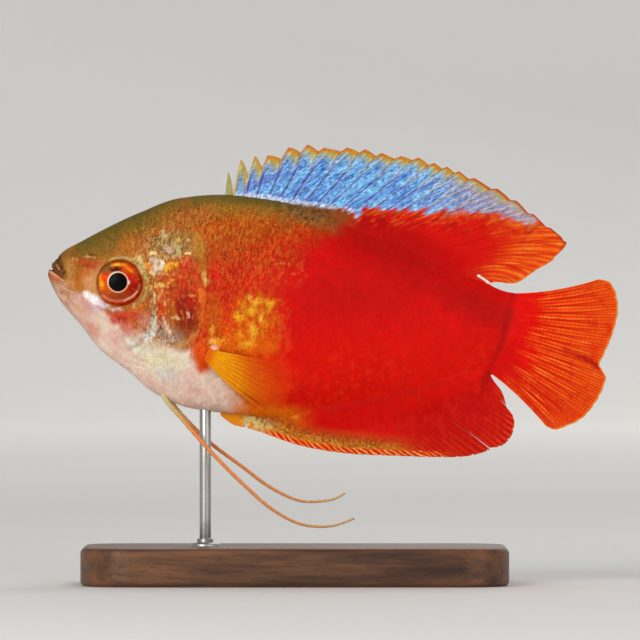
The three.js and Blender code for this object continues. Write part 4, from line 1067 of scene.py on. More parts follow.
def rim_loop(columns, rows):
    """The numbers of a grid's outer points, in order round it."""
    number = np.arange(columns * rows).reshape(columns, rows)
    return np.concatenate([number[:-1, 0], number[-1, :-1], number[:0:-1, -1], number[0, :0:-1]])


def shell_faces(columns, rows):
    """Faces of a closed shell: two grids of one size, joined round their edges."""
    front = grid_faces(columns, rows)
    count = columns * rows
    loop = rim_loop(columns, rows)
    after = np.roll(loop, -1)
    rim = np.stack([loop, loop + count, after + count, after], -1)
    return [front, front[:, ::-1] + count, rim]


def capped_faces(rings, sides):
    """Faces over rings of points, closed by a pole at each end. The poles are the last two points."""
    wall = grid_faces(rings, sides)
    seam = np.arange(rings - 1) * sides
    wrap = np.stack([seam + sides - 1, seam + 2 * sides - 1, seam + sides, seam], -1)
    first, last = np.arange(sides), (rings - 1) * sides + np.arange(sides)
    pole = rings * sides
    start = np.stack([first, np.roll(first, -1), np.full(sides, pole)], -1)
    end = np.stack([np.roll(last, -1), last, np.full(sides, pole + 1)], -1)
    return [wall, wrap, start, end]


def enclosed(points, faces):
    """Six times the volume inside the faces, negative where they face inwards."""
    total = 0
    for f in faces:
        for k in range(1, f.shape[1] - 1):
            a, b, c = points[f[:, 0]], points[f[:, k]], points[f[:, k + 1]]
            total += (a * np.cross(b, c)).sum()
    return total


def placed(name, data):
    """A new object in the scene."""
    piece = bpy.data.objects.new(name, data)
    bpy.context.scene.collection.objects.link(piece)
    return piece


def fill_mesh(mesh, points, faces):
    """Puts points in millimetres and faces of any number of sides into an empty mesh."""
    corners = np.concatenate([f.ravel() for f in faces]).astype(np.int32)
    sides = np.concatenate([np.full(len(f), f.shape[1]) for f in faces])
    starts = np.concatenate([[0], np.cumsum(sides)[:-1]]).astype(np.int32)
    mesh.vertices.add(len(points))
    mesh.vertices.foreach_set("co", (points * MM).astype(np.float32).ravel())
    mesh.loops.add(len(corners))
    mesh.loops.foreach_set("vertex_index", corners)
    mesh.polygons.add(len(sides))
    mesh.polygons.foreach_set("loop_start", starts)
    mesh.update(calc_edges=True)
    mesh.shade_smooth()
    return corners


def keep_crisp(mesh, marked):
    """Keeps the edges sharp that run between two marked points."""
    ends = np.empty(2 * len(mesh.edges), np.int32)
    mesh.edges.foreach_get("vertices", ends)
    mesh.edges.foreach_set("use_edge_sharp", marked[ends].reshape(-1, 2).all(1))


def mesh_piece(name, points, faces, material, slot, uv=None, creases=None, **layers):
    """A smooth mesh from points in millimetres that rides on the model.

    layers are values for each point. Edges between two points marked in creases stay crisp.
    """
    points = np.reshape(points, (-1, 3))
    if enclosed(points, faces) < 0:
        faces = [f[:, ::-1] for f in faces]
    mesh = bpy.data.meshes.new(name)
    corners = fill_mesh(mesh, points, faces)
    if creases is not None:
        keep_crisp(mesh, creases)
    for layer, values in layers.items():
        values = np.reshape(values, (len(points), -1)).astype(np.float32)
        kind, field = ("FLOAT_COLOR", "color") if values.shape[1] == 4 else ("FLOAT_VECTOR", "vector")
        mesh.attributes.new(layer, kind, "POINT").data.foreach_set(field, values.ravel())
    if uv is not None:
        flat = np.reshape(uv, (-1, 2))[corners].astype(np.float32)
        mesh.uv_layers.new(name="OFBake").data.foreach_set("uv", flat.ravel())
    mesh.materials.append(material)
    piece = placed(name, mesh)
    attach(piece, "root")
    return piece


def solid(colour):
    """The colour with a fourth channel of 1."""
    return np.concatenate([colour, np.ones((*colour.shape[:-1], 1))], -1)


def mirrored(points):
    """The same points on the other flank."""
    return points * np.array([1, -1, 1])


class Nodes:
    """Short ways to add and join the shader nodes of one new material."""

    def __init__(self, name):
        self.material = bpy.data.materials.new(name)
        self.material.use_nodes = True
        self.tree = self.material.node_tree
        self.shader = self.tree.nodes["Principled BSDF"]

    def put(self, socket, value):
        """Sets a socket, or joins it to another one."""
        if isinstance(value, bpy.types.NodeSocket):
            self.tree.links.new(value, socket)
        else:
            socket.default_value = value

    def add(self, kind, inputs, **settings):
        node = self.tree.nodes.new("ShaderNode" + kind)
        for key, value in settings.items():
            setattr(node, key, value)
        for key, value in inputs.items():
            self.put(node.inputs[key], value)
        return node

    def finish(self, colour, roughness, normal, specular, **more):
        """Puts the values on the shader and returns the material. A _ in a name stands for a space."""
        usual = {"Base Color": colour, "Roughness": roughness, "Normal": normal}
        for key, value in {**usual, "Specular IOR Level": specular, **more}.items():
            self.put(self.shader.inputs[key.replace("_", " ")], value)
        return self.material

    def attribute(self, name):
        return self.add("Attribute", {}, attribute_name=name)

    def place(self, size, slant=0.0):
        """Coordinates on the object, counted in cells of the given size in millimetres along X, Y and Z."""
        spot = self.add("TexCoord", {}).outputs["Object"]
        cells = {"Vector": spot, "Rotation": (0, slant, 0), "Scale": [s * MM for s in size]}
        return self.add("Mapping", cells, vector_type="TEXTURE").outputs[0]

    def noise(self, size, detail=3.0, roughness=0.55, seed=0.0, slant=0.0):
        """Noise whose cells have the given size in millimetres along X, Y and Z."""
        spot = self.place(size, slant)
        settings = {"Vector": spot, "W": seed, "Scale": 1.0, "Detail": detail, "Roughness": roughness}
        return self.add("TexNoise", settings, noise_dimensions="4D").outputs["Fac"]

    def math(self, kind, a, b):
        return self.add("Math", {0: a, 1: b}, operation=kind).outputs[0]

    def scaled_plus(self, value, factor, more):
        return self.math("ADD", self.math("MULTIPLY", value, factor), more)

    def paint(self):
        """The colours that the mesh carries."""
        return self.attribute("paint").outputs["Color"]

    def ramp(self, value, low, high, to_low=0.0, to_high=1.0):
        """A soft step over the value, from to_low at low to to_high at high."""
        ends = {"Value": value, "From Min": low, "From Max": high, "To Min": to_low, "To Max": to_high}
        return self.add("MapRange", ends, interpolation_type="SMOOTHSTEP").outputs[0]

    def roughness(self, noise, low, high):
        """A roughness that swings between low and high over the noise's usual range."""
        return self.ramp(noise, 0.3, 0.7, low, high)

    def scaled_by(self, colour, factor):
        return self.add("VectorMath", {"Vector": colour, "Scale": factor}, operation="SCALE").outputs[0]

    def blend(self, share, a, b):
        mix = self.add("Mix", {"Factor": share}, data_type="RGBA")
        first_colour, second_colour, mixed_colour = 6, 7, 2
        self.put(mix.inputs[first_colour], a)
        self.put(mix.inputs[second_colour], b)
        return mix.outputs[mixed_colour]

    def bump(self, height, distance, strength=1.0, under=None):
        """A relief of the given depth in millimetres, over another one where that is given."""
        inputs = {"Height": height, "Distance": distance * MM, "Strength": strength}
        if under is not None:
            inputs["Normal"] = under
        return self.add("Bump", inputs).outputs[0]


def skin_material(name, scaly):
    """Painted fish skin with pores and, on the scales, growth rings round each scale's root."""
    nodes = Nodes(name)
    sparkle = nodes.attribute("sparkle")
    glow, share = sparkle.outputs["Color"], sparkle.outputs["Alpha"]
    swing = nodes.scaled_plus(share, 4.2, 0.25)
    grains = nodes.math("SUBTRACT", nodes.noise((0.26, 0.34, 0.42), 4, 0.6, 0.0, 0.25), 0.5)
    colour = nodes.scaled_by(nodes.paint(), nodes.scaled_plus(grains, swing, 1.0))
    streaks = nodes.ramp(nodes.noise((0.34, 0.6, 0.95), 3, 0.6, 6.0, 0.2), 0.48, 0.61)
    colour = nodes.blend(nodes.math("MULTIPLY", nodes.math("MULTIPLY", streaks, share), 0.7), colour, glow)
    points = nodes.ramp(nodes.noise((0.17, 0.22, 0.3), 2, 0.5, 8.0, 0.25), 0.58, 0.68)
    points = nodes.math("MULTIPLY", nodes.math("MULTIPLY", points, share), 0.8)
    colour = nodes.blend(points, colour, nodes.scaled_by(glow, 1.5))
    pores = nodes.noise((0.16, 0.2, 0.2), 3, 0.6, 2.0)
    normal = nodes.bump(pores, 0.02, 0.5)
    if scaly:
        lie = nodes.attribute("lie").outputs["Vector"]
        split = nodes.add("SeparateXYZ", {"Vector": lie})
        own = nodes.add("TexWhiteNoise", {"W": split.outputs[2]}, noise_dimensions="1D").outputs["Value"]
        colour = nodes.scaled_by(colour, nodes.ramp(own, 0.0, 1.0, 0.95, 1.05))
        rings = nodes.add("TexWave", {"Vector": lie, "Scale": 2.6, "Distortion": 1.2, "Detail": 1.0},
                          wave_type="RINGS", rings_direction="Z")
        normal = nodes.bump(rings.outputs["Fac"], 0.012, 0.5, normal)
    roughness = nodes.roughness(nodes.noise((0.6, 0.6, 0.6), 3, 0.6, 5.0), 0.38, 0.54)
    return nodes.finish(colour, roughness, normal, 0.07)


def fin_material(name, clear=False):
    """Painted fin skin with a fine crosswise ripple, and its own clearness where it has any."""
    nodes = Nodes(name)
    paint = nodes.attribute("paint")
    blue = nodes.add("SeparateColor", {"Color": paint.outputs["Color"]}).outputs[2]
    swing = nodes.scaled_plus(blue, 5.2, 0.7)
    folds = nodes.math("SUBTRACT", nodes.noise((0.6, 1, 0.11), 3, 0.55, 1.0, -0.65), 0.5)
    colour = nodes.scaled_by(paint.outputs["Color"], nodes.scaled_plus(folds, swing, 1.0))
    ripple = nodes.noise((0.14, 0.3, 0.14), 3, 0.55, 3.0)
    roughness = nodes.roughness(nodes.noise((0.5, 0.5, 0.5), 3, 0.6, 4.0), 0.4, 0.58)
    if clear:
        nodes.put(nodes.shader.inputs["Alpha"], paint.outputs["Alpha"])
    return nodes.finish(colour, roughness, nodes.bump(ripple, 0.03, 0.6), 0.06)


def eye_material():
    """A painted iris with fine fibres under a smooth clear coat."""
    nodes = Nodes("wet_eye")
    tone = nodes.ramp(nodes.noise((0.12, 0.12, 0.12), 4, 0.65, 7.0), 0.25, 0.75, 0.8, 1.2)
    colour = nodes.scaled_by(nodes.paint(), tone)
    fibres = nodes.noise((0.1, 0.1, 0.1), 3, 0.6, 8.0)
    return nodes.finish(colour, nodes.roughness(fibres, 0.3, 0.5), nodes.bump(fibres, 0.04, 0.7), 0.03,
                        Coat_Weight=0.05, Coat_Roughness=0.05)


def feeler_material():
    """Painted thread skin with fine beads."""
    nodes = Nodes("feeler_skin")
    tone = nodes.ramp(nodes.noise((0.25, 0.25, 0.25), 4, 0.6, 9.0), 0.25, 0.75, 0.82, 1.18)
    colour = nodes.scaled_by(nodes.paint(), tone)
    beads = nodes.noise((0.12, 0.12, 0.12), 2, 0.5, 10.0)
    return nodes.finish(colour, nodes.roughness(beads, 0.42, 0.6), nodes.bump(beads, 0.03, 0.6), 0.2)


def wood_material():
    """Dark oiled hardwood with its grain along X."""
    nodes = Nodes("oiled_wood")
    bands = nodes.noise((26, 2.2, 2.6), 5, 0.62, 11.0)
    lines = nodes.noise((9, 0.35, 0.5), 3, 0.6, 12.0)
    pores = nodes.ramp(nodes.noise((1.6, 0.09, 0.12), 2, 0.6, 13.0), 0.58, 0.7)
    dark, light = (*hue(0x3E2416), 1), (*hue(0x7A4E2E), 1)
    colour = nodes.blend(nodes.ramp(bands, 0.32, 0.68), dark, light)
    colour = nodes.scaled_by(colour, nodes.ramp(lines, 0.25, 0.75, 0.78, 1.2))
    colour = nodes.scaled_by(colour, nodes.ramp(pores, 0.0, 1.0, 1.0, 0.6))
    normal = nodes.bump(nodes.math("SUBTRACT", lines, pores), 0.05, 0.6)
    return nodes.finish(colour, nodes.roughness(bands, 0.36, 0.52), normal, 0.4)


def metal_material():
    """Brushed steel, with the brush marks running round the rod."""
    nodes = Nodes("brushed_metal")
    brush = nodes.noise((3, 3, 0.03), 3, 0.6, 14.0)
    colour = nodes.scaled_by(hue(0xB0B0AC), nodes.ramp(brush, 0.3, 0.7, 0.88, 1.06))
    return nodes.finish(colour, nodes.roughness(brush, 0.26, 0.42), nodes.bump(brush, 0.01, 0.5), 0.5,
                        Metallic=1.0)


# The floor glows from a distance on, counted in mm from the lit spot, up to its full strength.
LIT_SPOT = (0, -350, 0)
GLOW_START, GLOW_FULL = 350, 1200
FAR_GLOW = 0.27


def paper_material():
    """The pale floor: matt card with a faint tooth, lit from within where the lamps no longer reach."""
    nodes = Nodes("pale_card")
    tooth = nodes.noise((0.7, 0.7, 0.7), 4, 0.6, 15.0)
    colour = nodes.scaled_by(hue(0xE8E6E2), nodes.ramp(tooth, 0.3, 0.7, 0.985, 1.015))
    ends = {0: nodes.place((1, 1, 1)), 1: LIT_SPOT}
    away = nodes.add("VectorMath", ends, operation="DISTANCE").outputs["Value"]
    return nodes.finish(colour, nodes.roughness(tooth, 0.75, 0.85), nodes.bump(tooth, 0.05, 0.2), 0.2,
                        Emission_Color=colour,
                        Emission_Strength=nodes.ramp(away, GLOW_START, GLOW_FULL, 0, FAR_GLOW))


# The skin's points from belly to back on one side, and the station where they are evenly spaced.
SKIN_SIDE_POINTS = 165
EVEN_X = -10


def even_turns(x, count):
    """Turns from belly to back whose points are evenly spaced along the girth at station x."""
    fine = np.radians(np.linspace(-90, 90, 721))
    run = run_along(body_point(np.full(len(fine), float(x)), fine))
    return np.interp(np.linspace(0, run[-1], count), run, fine)


def body_skin():
    """One closed skin for head, gill covers, trunk and tail stalk, finest at the snout and head."""
    near_snout = SNOUT_X + 4 * np.linspace(0, 1, 61)[1:] ** 1.6
    head = np.linspace(near_snout[-1], SNOUT_X + 21, 131)[1:]
    rest = np.linspace(head[-1], SKIN_END_X - 0.02, 108)[1:]
    x = np.concatenate([near_snout, head, rest])[:, None]
    turns = even_turns(EVEN_X, SKIN_SIDE_POINTS)[None, :]
    left = body_surface(x, turns)[0]
    left[:, [0, -1], 1] = 0
    points = np.concatenate([left, mirrored(left[:, -2:0:-1])], 1)
    paint, sparkle = body_paint(left), body_glints(left)
    poles = np.array([[SNOUT_X, 0, float(back(SNOUT_X))], [SKIN_END_X, 0, float(waist(SKIN_END_X))]])
    sides = points.shape[1]

    def both(values):
        round_it = np.concatenate([values, values[:, -2:0:-1]], 1)
        return np.concatenate([round_it.reshape(-1, 4), values[[0, -1], sides // 4]])

    return mesh_piece("body_skin", np.concatenate([points.reshape(-1, 3), poles]),
                      capped_faces(len(x), sides), skin_material("painted_skin", False), "skin",
                      paint=both(solid(paint)), sparkle=both(sparkle))


# The girth table: millimetres from entry to entry and out to each end, and the turns measured for it.
GIRTH_STEP = 0.1
GIRTH_REACH = 24
GIRTH_TURNS = np.radians(np.linspace(-130, 130, 521))


def girth_table():
    """For stations along the body: the turn at each signed length round the flank from its middle.

    The last two results are the lengths at the belly's and the back's midline.
    """
    stations = np.linspace(SNOUT_X + 4, SKIN_END_X - 1, 120)
    steps = np.linalg.norm(np.diff(body_point(stations[:, None], GIRTH_TURNS[None, :]), axis=1), axis=2)
    run = np.concatenate([0 * stations[:, None], np.cumsum(steps, axis=1)], 1)
    run -= run[:, [len(GIRTH_TURNS) // 2]]
    lengths = np.arange(-GIRTH_REACH, GIRTH_REACH + GIRTH_STEP / 2, GIRTH_STEP)
    table = np.stack([np.interp(lengths, r, GIRTH_TURNS) for r in run])
    low = [np.interp(-np.pi / 2, GIRTH_TURNS, r) for r in run]
    high = [np.interp(np.pi / 2, GIRTH_TURNS, r) for r in run]
    return stations, table, np.array(low), np.array(high)


def turn_at(girth, x, s):
    """The turn at station x and signed length s round the flank."""
    stations, table = girth[0], girth[1]
    a = ((x - stations[0]) / (stations[1] - stations[0])).clip(0, len(stations) - 1.001)
    b = ((s + GIRTH_REACH) / GIRTH_STEP).clip(0, table.shape[1] - 1.001)
    i, j = a.astype(int), b.astype(int)
    u, v = a - i, b - j
    low = table[i, j] * (1 - v) + table[i, j + 1] * v
    high = table[i + 1, j] * (1 - v) + table[i + 1, j + 1] * v
    return low * (1 - u) + high * u


# The rows of scales to each side of the flank's middle, before those beyond the midlines are dropped.
SCALE_LINES = 24


def lattice(girth, start, end, pitch, spacing):
    """Root places [x, s, pitch] for scales in rows along the flank, every other row set back by half.

    pitch and spacing, along and across the rows, are each given as stations and the values there.
    """
    roots = []
    x = start
    while x < end:
        step = float(np.interp(x, *pitch))
        for row in range(-SCALE_LINES, SCALE_LINES + 1):
            at = x + step * 0.5 * (row % 2)
            roots.append((at, row * float(np.interp(at, *spacing)), step))
        x += step
    roots = np.array(roots)
    low, high = (np.interp(roots[:, 0], girth[0], g) for g in girth[2:])
    return roots[(roots[:, 1] > low - 0.1) & (roots[:, 1] < high + 0.1)]


def scale_roots(girth):
    """The places [x, s, pitch, 1 in front] of one side's scales: small on the head, larger behind."""
    front = lattice(girth, -31, -14, ((-31, -18), (0.85, 1.15)), ((0, 1), (0.62, 0.62)))
    rear = lattice(girth, -26, 24, ((-26, -14, 0, 12, 22), (1.35, 1.5, 1.7, 1.6, 1.1)),
                   ((-26, -12, 4, 14, 23), (0.92, 1.02, 0.98, 0.86, 0.66)))
    kept = []
    for roots, is_front in ((front, True), (rear, False)):
        mid = roots[:, 0] + 0.5 * roots[:, 2]
        z = body_point(mid, turn_at(girth, mid, roots[:, 1]))[:, 2]
        away, _, side = to_line(mid, z, GILL_EDGE)
        on_side = side * away < -0.45 if is_front else side * away > 0.1
        off_fin = np.hypot((mid - PECTORAL_ROOT[0]) / 1.35, (z - PECTORAL_ROOT[1]) / 2.1) > 1
        before_crease = to_line(mid + 0.9 * roots[:, 2], z, CREASE)[2] < 0
        keep = on_side & off_fin & before_crease & (scaled(mid, z) > 0.5)
        kept.append(np.concatenate([roots[keep], np.full((keep.sum(), 1), float(is_front))], 1))
    return np.concatenate(kept)


SCALE_COLUMNS, SCALE_ROWS = 11, 9


def scale_shape():
    """One scale on the unit disc: [along, across] and how far up its wall each point is."""
    g, h = np.meshgrid(np.linspace(-1, 1, SCALE_COLUMNS), np.linspace(-1, 1, SCALE_ROWS), indexing="ij")
    top = np.stack([g * np.sqrt(1 - h * h / 2), h * np.sqrt(1 - g * g / 2)], -1).reshape(-1, 2)
    loop = rim_loop(SCALE_COLUMNS, SCALE_ROWS)
    low = top[loop] * 0.97
    shape = np.concatenate([top, low, [[0, 0]]])
    level = np.concatenate([np.zeros(len(top)), np.ones(len(low)), [1.6]])
    count, turns = len(top), len(loop)
    after = np.roll(np.arange(turns), -1)
    wall = np.stack([loop, count + np.arange(turns), count + after, loop[after]], -1)
    floor = np.stack([count + after, count + np.arange(turns), np.full(turns, count + turns)], -1)
    return shape, level, [grid_faces(SCALE_COLUMNS, SCALE_ROWS), wall, floor]


# Each scale's length and width in pitches, its wall in mm, and its patch of the bake map.
SCALE_LENGTH, SCALE_WIDTH = 1.72, 1.52
SCALE_WALL = 0.05
BAKE_PATCH = 0.003
# The stations that part the front, middle and rear piece of each side's scales.
FRONT_END_X, REAR_START_X = -14, 2


def scale_outlines(roots, shape):
    """Each scale's points: along and across it, and their station and length round the flank."""
    count = len(roots)
    x0, s0, pitch, is_front = (roots[:, [k]] for k in range(4))
    x0 = x0 + draw.normal(0, 0.035, (count, 1))
    s0 = s0 + draw.normal(0, 0.025, (count, 1))
    size = 1 + draw.normal(0, 0.03, (count, 1))
    tilt = draw.normal(0, 0.06, (count, 1)) - 0.05 * smooth(0, 22, x0) * np.sign(s0)
    u = (shape[:, 0] + 1) / 2 * (SCALE_LENGTH * pitch * size)
    v = shape[:, 1] * (SCALE_WIDTH * pitch * size * (1 - 0.04 * is_front)) / 2
    x = x0 + u * np.cos(tilt) - v * np.sin(tilt)
    s = s0 + v * np.cos(tilt) + u * np.sin(tilt)
    return x0, s0, size, u, v, x, s


def scale_heights(x0, size, shape, level):
    """How far each point lies off the skin: sunk at the root, lifted along the free edge."""
    edge = np.interp(x0, (-30, -18, -10, 4, 22), (0.03, 0.05, 0.06, 0.03, 0.02)) * size
    sink = np.interp(x0, (-30, -10, 4, 22), (0.05, 0.06, 0.05, 0.04))
    run = (shape[:, 0] + 1) / 2
    arch = 0.04 * shape[:, 1] ** 2 * (0.4 + run)
    bevel = 0.012 * smooth(0.88, 1, np.hypot(*shape.T)) * (level == 0)
    return (sink + edge) * run**0.9 - sink - arch - bevel - SCALE_WALL * level


def bake_places(x0, s0, shape, flip):
    """Each scale's patch of the bake map, whose lower half is the left flank and upper half the right."""
    middle = np.stack([0.03 + 0.94 * (x0 + 38) / 66, 0.25 + 0.5 * flip + 0.45 * s0 / 40], -1)
    return middle + BAKE_PATCH * 0.5 * shape


def scale_coats():
    """The solid scales of both flanks, in pieces, each scale lying back over the next one's root."""
    girth = girth_table()
    roots = scale_roots(girth)
    shape, level, faces = scale_shape()
    on_rim = np.isin(np.arange(len(shape)), rim_loop(SCALE_COLUMNS, SCALE_ROWS))
    x0, s0, size, u, v, x, s = scale_outlines(roots, shape)
    p, n = body_surface(x, turn_at(girth, x, s))
    p = p + n * scale_heights(x0, size, shape, level)[..., None]
    # Each scale's paint carries painted shade at its root and a painted highlight along its free edge.
    paint = solid(body_paint(p) * scale_shade_and_highlight(p, (shape[:, 0] + 1) / 2, roots[:, [3]])[..., None])
    sparkle = body_glints(p)
    own = np.broadcast_to(draw.random((len(roots), 1)) * 90, x.shape)
    lie = np.stack([u, v, own], -1)
    material = skin_material("painted_scales", True)
    for side in ("left", "right"):
        flip = side == "right"
        bake = bake_places(x0, s0, shape, flip)
        for part, inside in (
            ("front", x0[:, 0] < FRONT_END_X),
            ("middle", (x0[:, 0] >= FRONT_END_X) & (x0[:, 0] < REAR_START_X)),
            ("rear", x0[:, 0] >= REAR_START_X),
        ):
            number = np.arange(inside.sum())[:, None, None] * len(shape)
            every = [(f[None] + number).reshape(-1, f.shape[1]) for f in faces]
            points = mirrored(p[inside]) if flip else p[inside]
            mesh_piece(f"scales_{side}_{part}", points, every, material, "skin", uv=bake[inside],
                       creases=np.tile(on_rim, inside.sum()), paint=paint[inside],
                       sparkle=sparkle[inside], lie=lie[inside])


def scale_shade_and_highlight(p, run, is_front):
    """Painted shade towards each scale's root and a painted highlight along its free edge, most in front;
    front scales a touch darker overall.
    """
    front = fade(-8, 2, p[..., 0])
    depth = 0.02 + 0.05 * front * smooth(-1, 1, p[..., 2] - throat_edge(p[..., 0]))
    return 1 - depth * fade(0.2, 0.75, run) + depth * smooth(0.78, 0.95, run) - 0.02 * is_front


def fin_pieces():
    """The back fin, the anal fin, the tail fin and the two clear pectoral fins."""
    skin, clear = fin_material("painted_fin"), fin_material("clear_fin", True)
    for name, made in (("dorsal_fin", dorsal_fin()), ("anal_fin", anal_fin()), ("caudal_fin", tail_fin())):
        fan, points, paint = made
        both = np.stack([solid(paint)] * 2)
        piece = mesh_piece(name + "_skin", points, shell_faces(*fan.x.shape), skin, "fin", paint=both)
        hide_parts(name)
    fan, points, paint = pectoral_fin()
    faces, both = shell_faces(*fan.x.shape), np.stack([paint] * 2)
    for side, p in (("left", points), ("right", mirrored(points))):
        piece = mesh_piece(f"pectoral_fin_{side}_skin", p, faces, clear, "clear_fin", paint=both)
        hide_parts("pectoral_fin_" + side)


FEELER_STEPS, FEELER_SIDES = 150, 14
# The feelers' lines as [x, y, z] from the root, and their colours from there to the tip.
LEFT_FEELER = [(-22.6, -0.7, 25.5), (-21.8, -1, 24), (-19.9, -1.4, 21.8), (-15.9, -2.4, 17.3),
               (-11.9, -3, 13.3), (-8.1, -3.3, 10), (-4.3, -3.4, 8), (-0.4, -3.3, 7.7), (2.8, -3.2, 8.7)]
RIGHT_FEELER = [(-22.1, 0.7, 25.5), (-21.3, 1, 24), (-19.6, 1.5, 21.9), (-16.1, 2.5, 18.5),
                (-12.1, 3.1, 15.5), (-8.3, 3.5, 12.7), (-4.3, 3.6, 10.9), (-0.4, 3.5, 11), (1.6, 3.4, 11.9)]
FEELER_COLOURS = 0xCEC08E, 0xCEAA70, 0xE88846, 0xE68A4E, 0xDC9456, 0xD0B078


def tube(path, radius, sides):
    """Points round a path, with a pole at each end."""
    ahead = np.gradient(path, axis=0)
    ahead /= np.linalg.norm(ahead, axis=1, keepdims=True)
    across = np.cross(ahead, [0, 1.0, 0])
    across /= np.linalg.norm(across, axis=1, keepdims=True)
    other = np.cross(ahead, across)
    turn = full_turn(sides)[None, :, None]
    ring = across[:, None] * np.cos(turn) + other[:, None] * np.sin(turn)
    rings = path[:, None] + ring * np.broadcast_to(radius, len(path))[:, None, None]
    root_cap, tip_cap = -0.1, 0.06
    ends = path[[0, -1]] + ahead[[0, -1]] * [[root_cap], [tip_cap]]
    return np.concatenate([rings.reshape(-1, 3), ends])


def feeler_pieces():
    """The two long pelvic feelers: cream at the root, then orange, tan and gold at the tip."""
    material = feeler_material()
    share = np.linspace(0, 1, FEELER_STEPS)
    stops = (0, 0.11, 0.23, 0.45, 0.75, 1)
    colours = np.stack([hue(code) for code in FEELER_COLOURS])
    paint = np.stack([np.interp(share, stops, colours[:, k]) for k in range(3)], -1)
    every = solid(np.concatenate([np.repeat(paint, FEELER_SIDES, 0), paint[[0, -1]]]))
    for side, line in (("left", LEFT_FEELER), ("right", RIGHT_FEELER)):
        path = along(line, FEELER_STEPS)
        radius = np.interp(share, (0, 0.04, 0.15, 0.6, 1), (0.34, 0.31, 0.27, 0.23, 0.15))
        radius = radius * (1 + 0.05 * np.sin(share * 190 + len(side)))
        piece = mesh_piece(f"feeler_{side}_skin", tube(path, radius, FEELER_SIDES),
                           capped_faces(FEELER_STEPS, FEELER_SIDES), material, "feeler", paint=every)
        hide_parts("pelvic_feeler_" + side)


EYE_RINGS, EYE_SIDES = 76, 200
# The eye's middle lies this far from the midline, and its dome is part of an oval with these half axes.
EYE_MIDDLE_Y = 3.15
EYE_HALF_DEPTH = 1.9
EYE_OVAL = 3.1
# Behind the dome the eye narrows to a flat back at this depth inside the head.
EYE_HIDDEN_Y = -2
PUPIL_RADIUS, PUPIL_RING = 1.23, 1.32


def eye_paint(p, turn):
    """The iris round the pupil: orange in front, gold above, deep red behind and a pale rose arc below,
    painted as a highlight along the cornea's lower edge. Its outer rim is darkened as painted shade, most
    at the top.
    """
    k = Coat(p, 0xB2360E)
    r = from_eye(k.x, k.z)
    k.spots(
        1,
        (0xCE5414, 0.9, -30, 39.4, 1.7, 2.3, 0, 0.4, 0.2),
        (0xA41406, 0.9, -26.3, 39.7, 1, 2, 10, 0.5, 0.2),
        (0xE25214, 0.9, -26.6, 41, 1.4, 0.8, -42, 0.5, 0.2),
        (0x96421A, 0.8, -28.3, 37.9, 1.4, 0.5, 0, 0.5, 0.3),
        (0xA04E22, 0.8, -30.8, 39.4, 0.22, 1.6, 0, 0.6, 0.2),
        (0xFA8A08, 0.95, -30.4, 39.8, 0.28, 0.95, 6, 0.6, 0.2),
        (0xEE3808, 0.95, -29.8, 40.5, 0.5, 0.8, -14, 0.5, 0.2),
        (0xFFAA10, 0.9, -30.32, 39.5, 0.26, 0.4, 0, 0.7, 0.2),
        (0xC41604, 0.8, -26.5, 40.4, 0.7, 0.9, 10, 0.5, 0.2),
        (0x844A20, 0.85, -29.4, 41.4, 0.55, 0.8, -40, 0.5, 0.2),
        (0x3A180A, 0.95, -28.5, 41.35, 0.75, 0.32, 6, 0.6, 0.2),
        (0xFF9218, 0.8, -26.7, 41.35, 0.7, 0.2, -38, 0.6, 0.2),
    )
    k.lay(0xF0921E, k.stroke([(-29, 41.9), (-28.2, 42.05), (-27.2, 41.95)], 0.2, 0.6, 0.2) * 0.95)
    k.lay(0xFFC63C, k.stroke([(-28.6, 42), (-28, 42.02)], 0.12, 0.7, 0.2) * 0.9)
    k.lay(0xBA1A08, near(r - 2.74, 0.2) * smooth(-29.6, -28.4, k.x) * fade(39, 41, k.z) * 0.9)
    # A pale rose arc and its brighter middle along the cornea's lower edge: painted highlight.
    rose = [(-30.2, 37.9), (-29.4, 37.4), (-28.4, 37.2), (-27.3, 37.3), (-26.2, 37.85), (-25.5, 38.7),
            (-25.3, 39.4)]
    k.lay(0xE47A62, k.stroke(rose, 0.17, 0.9, 0.3) * 0.8)
    k.lay(0xFFC4A2, k.stroke([(-27.4, 37.28), (-26.3, 37.8), (-25.7, 38.4)], 0.09, 0.8, 0.3) * 0.9)
    angle = np.stack([np.cos(turn) * 2.2, r, np.sin(turn) * 2.2], -1)
    fibres = grain(angle, (0.11, 1.5, 0.11), 151)
    k.lay(0x6E1E08, smooth(0.6, 0.85, fibres) * smooth(1.35, 1.7, r) * 0.12)
    k.lay(0xFFA63C, smooth(0.62, 0.86, 1 - fibres) * smooth(1.4, 1.7, r) * 0.15)
    lid = smooth(2.2, 2.5, r + 0.3 * k.fine) * near(np.degrees(turn) % 360 - 132, 17)
    k.lay(0x845C30, lid * 0.85)
    # A dark outer rim, stronger towards the top, where the eye meets its socket: painted shade.
    k.lay(0x5C2E10, smooth(2.84, 2.95, r) * (0.1 + 0.5 * smooth(39, 42, k.z)))
    k.c *= (1 + 0.25 * k.fine)[..., None]
    return k


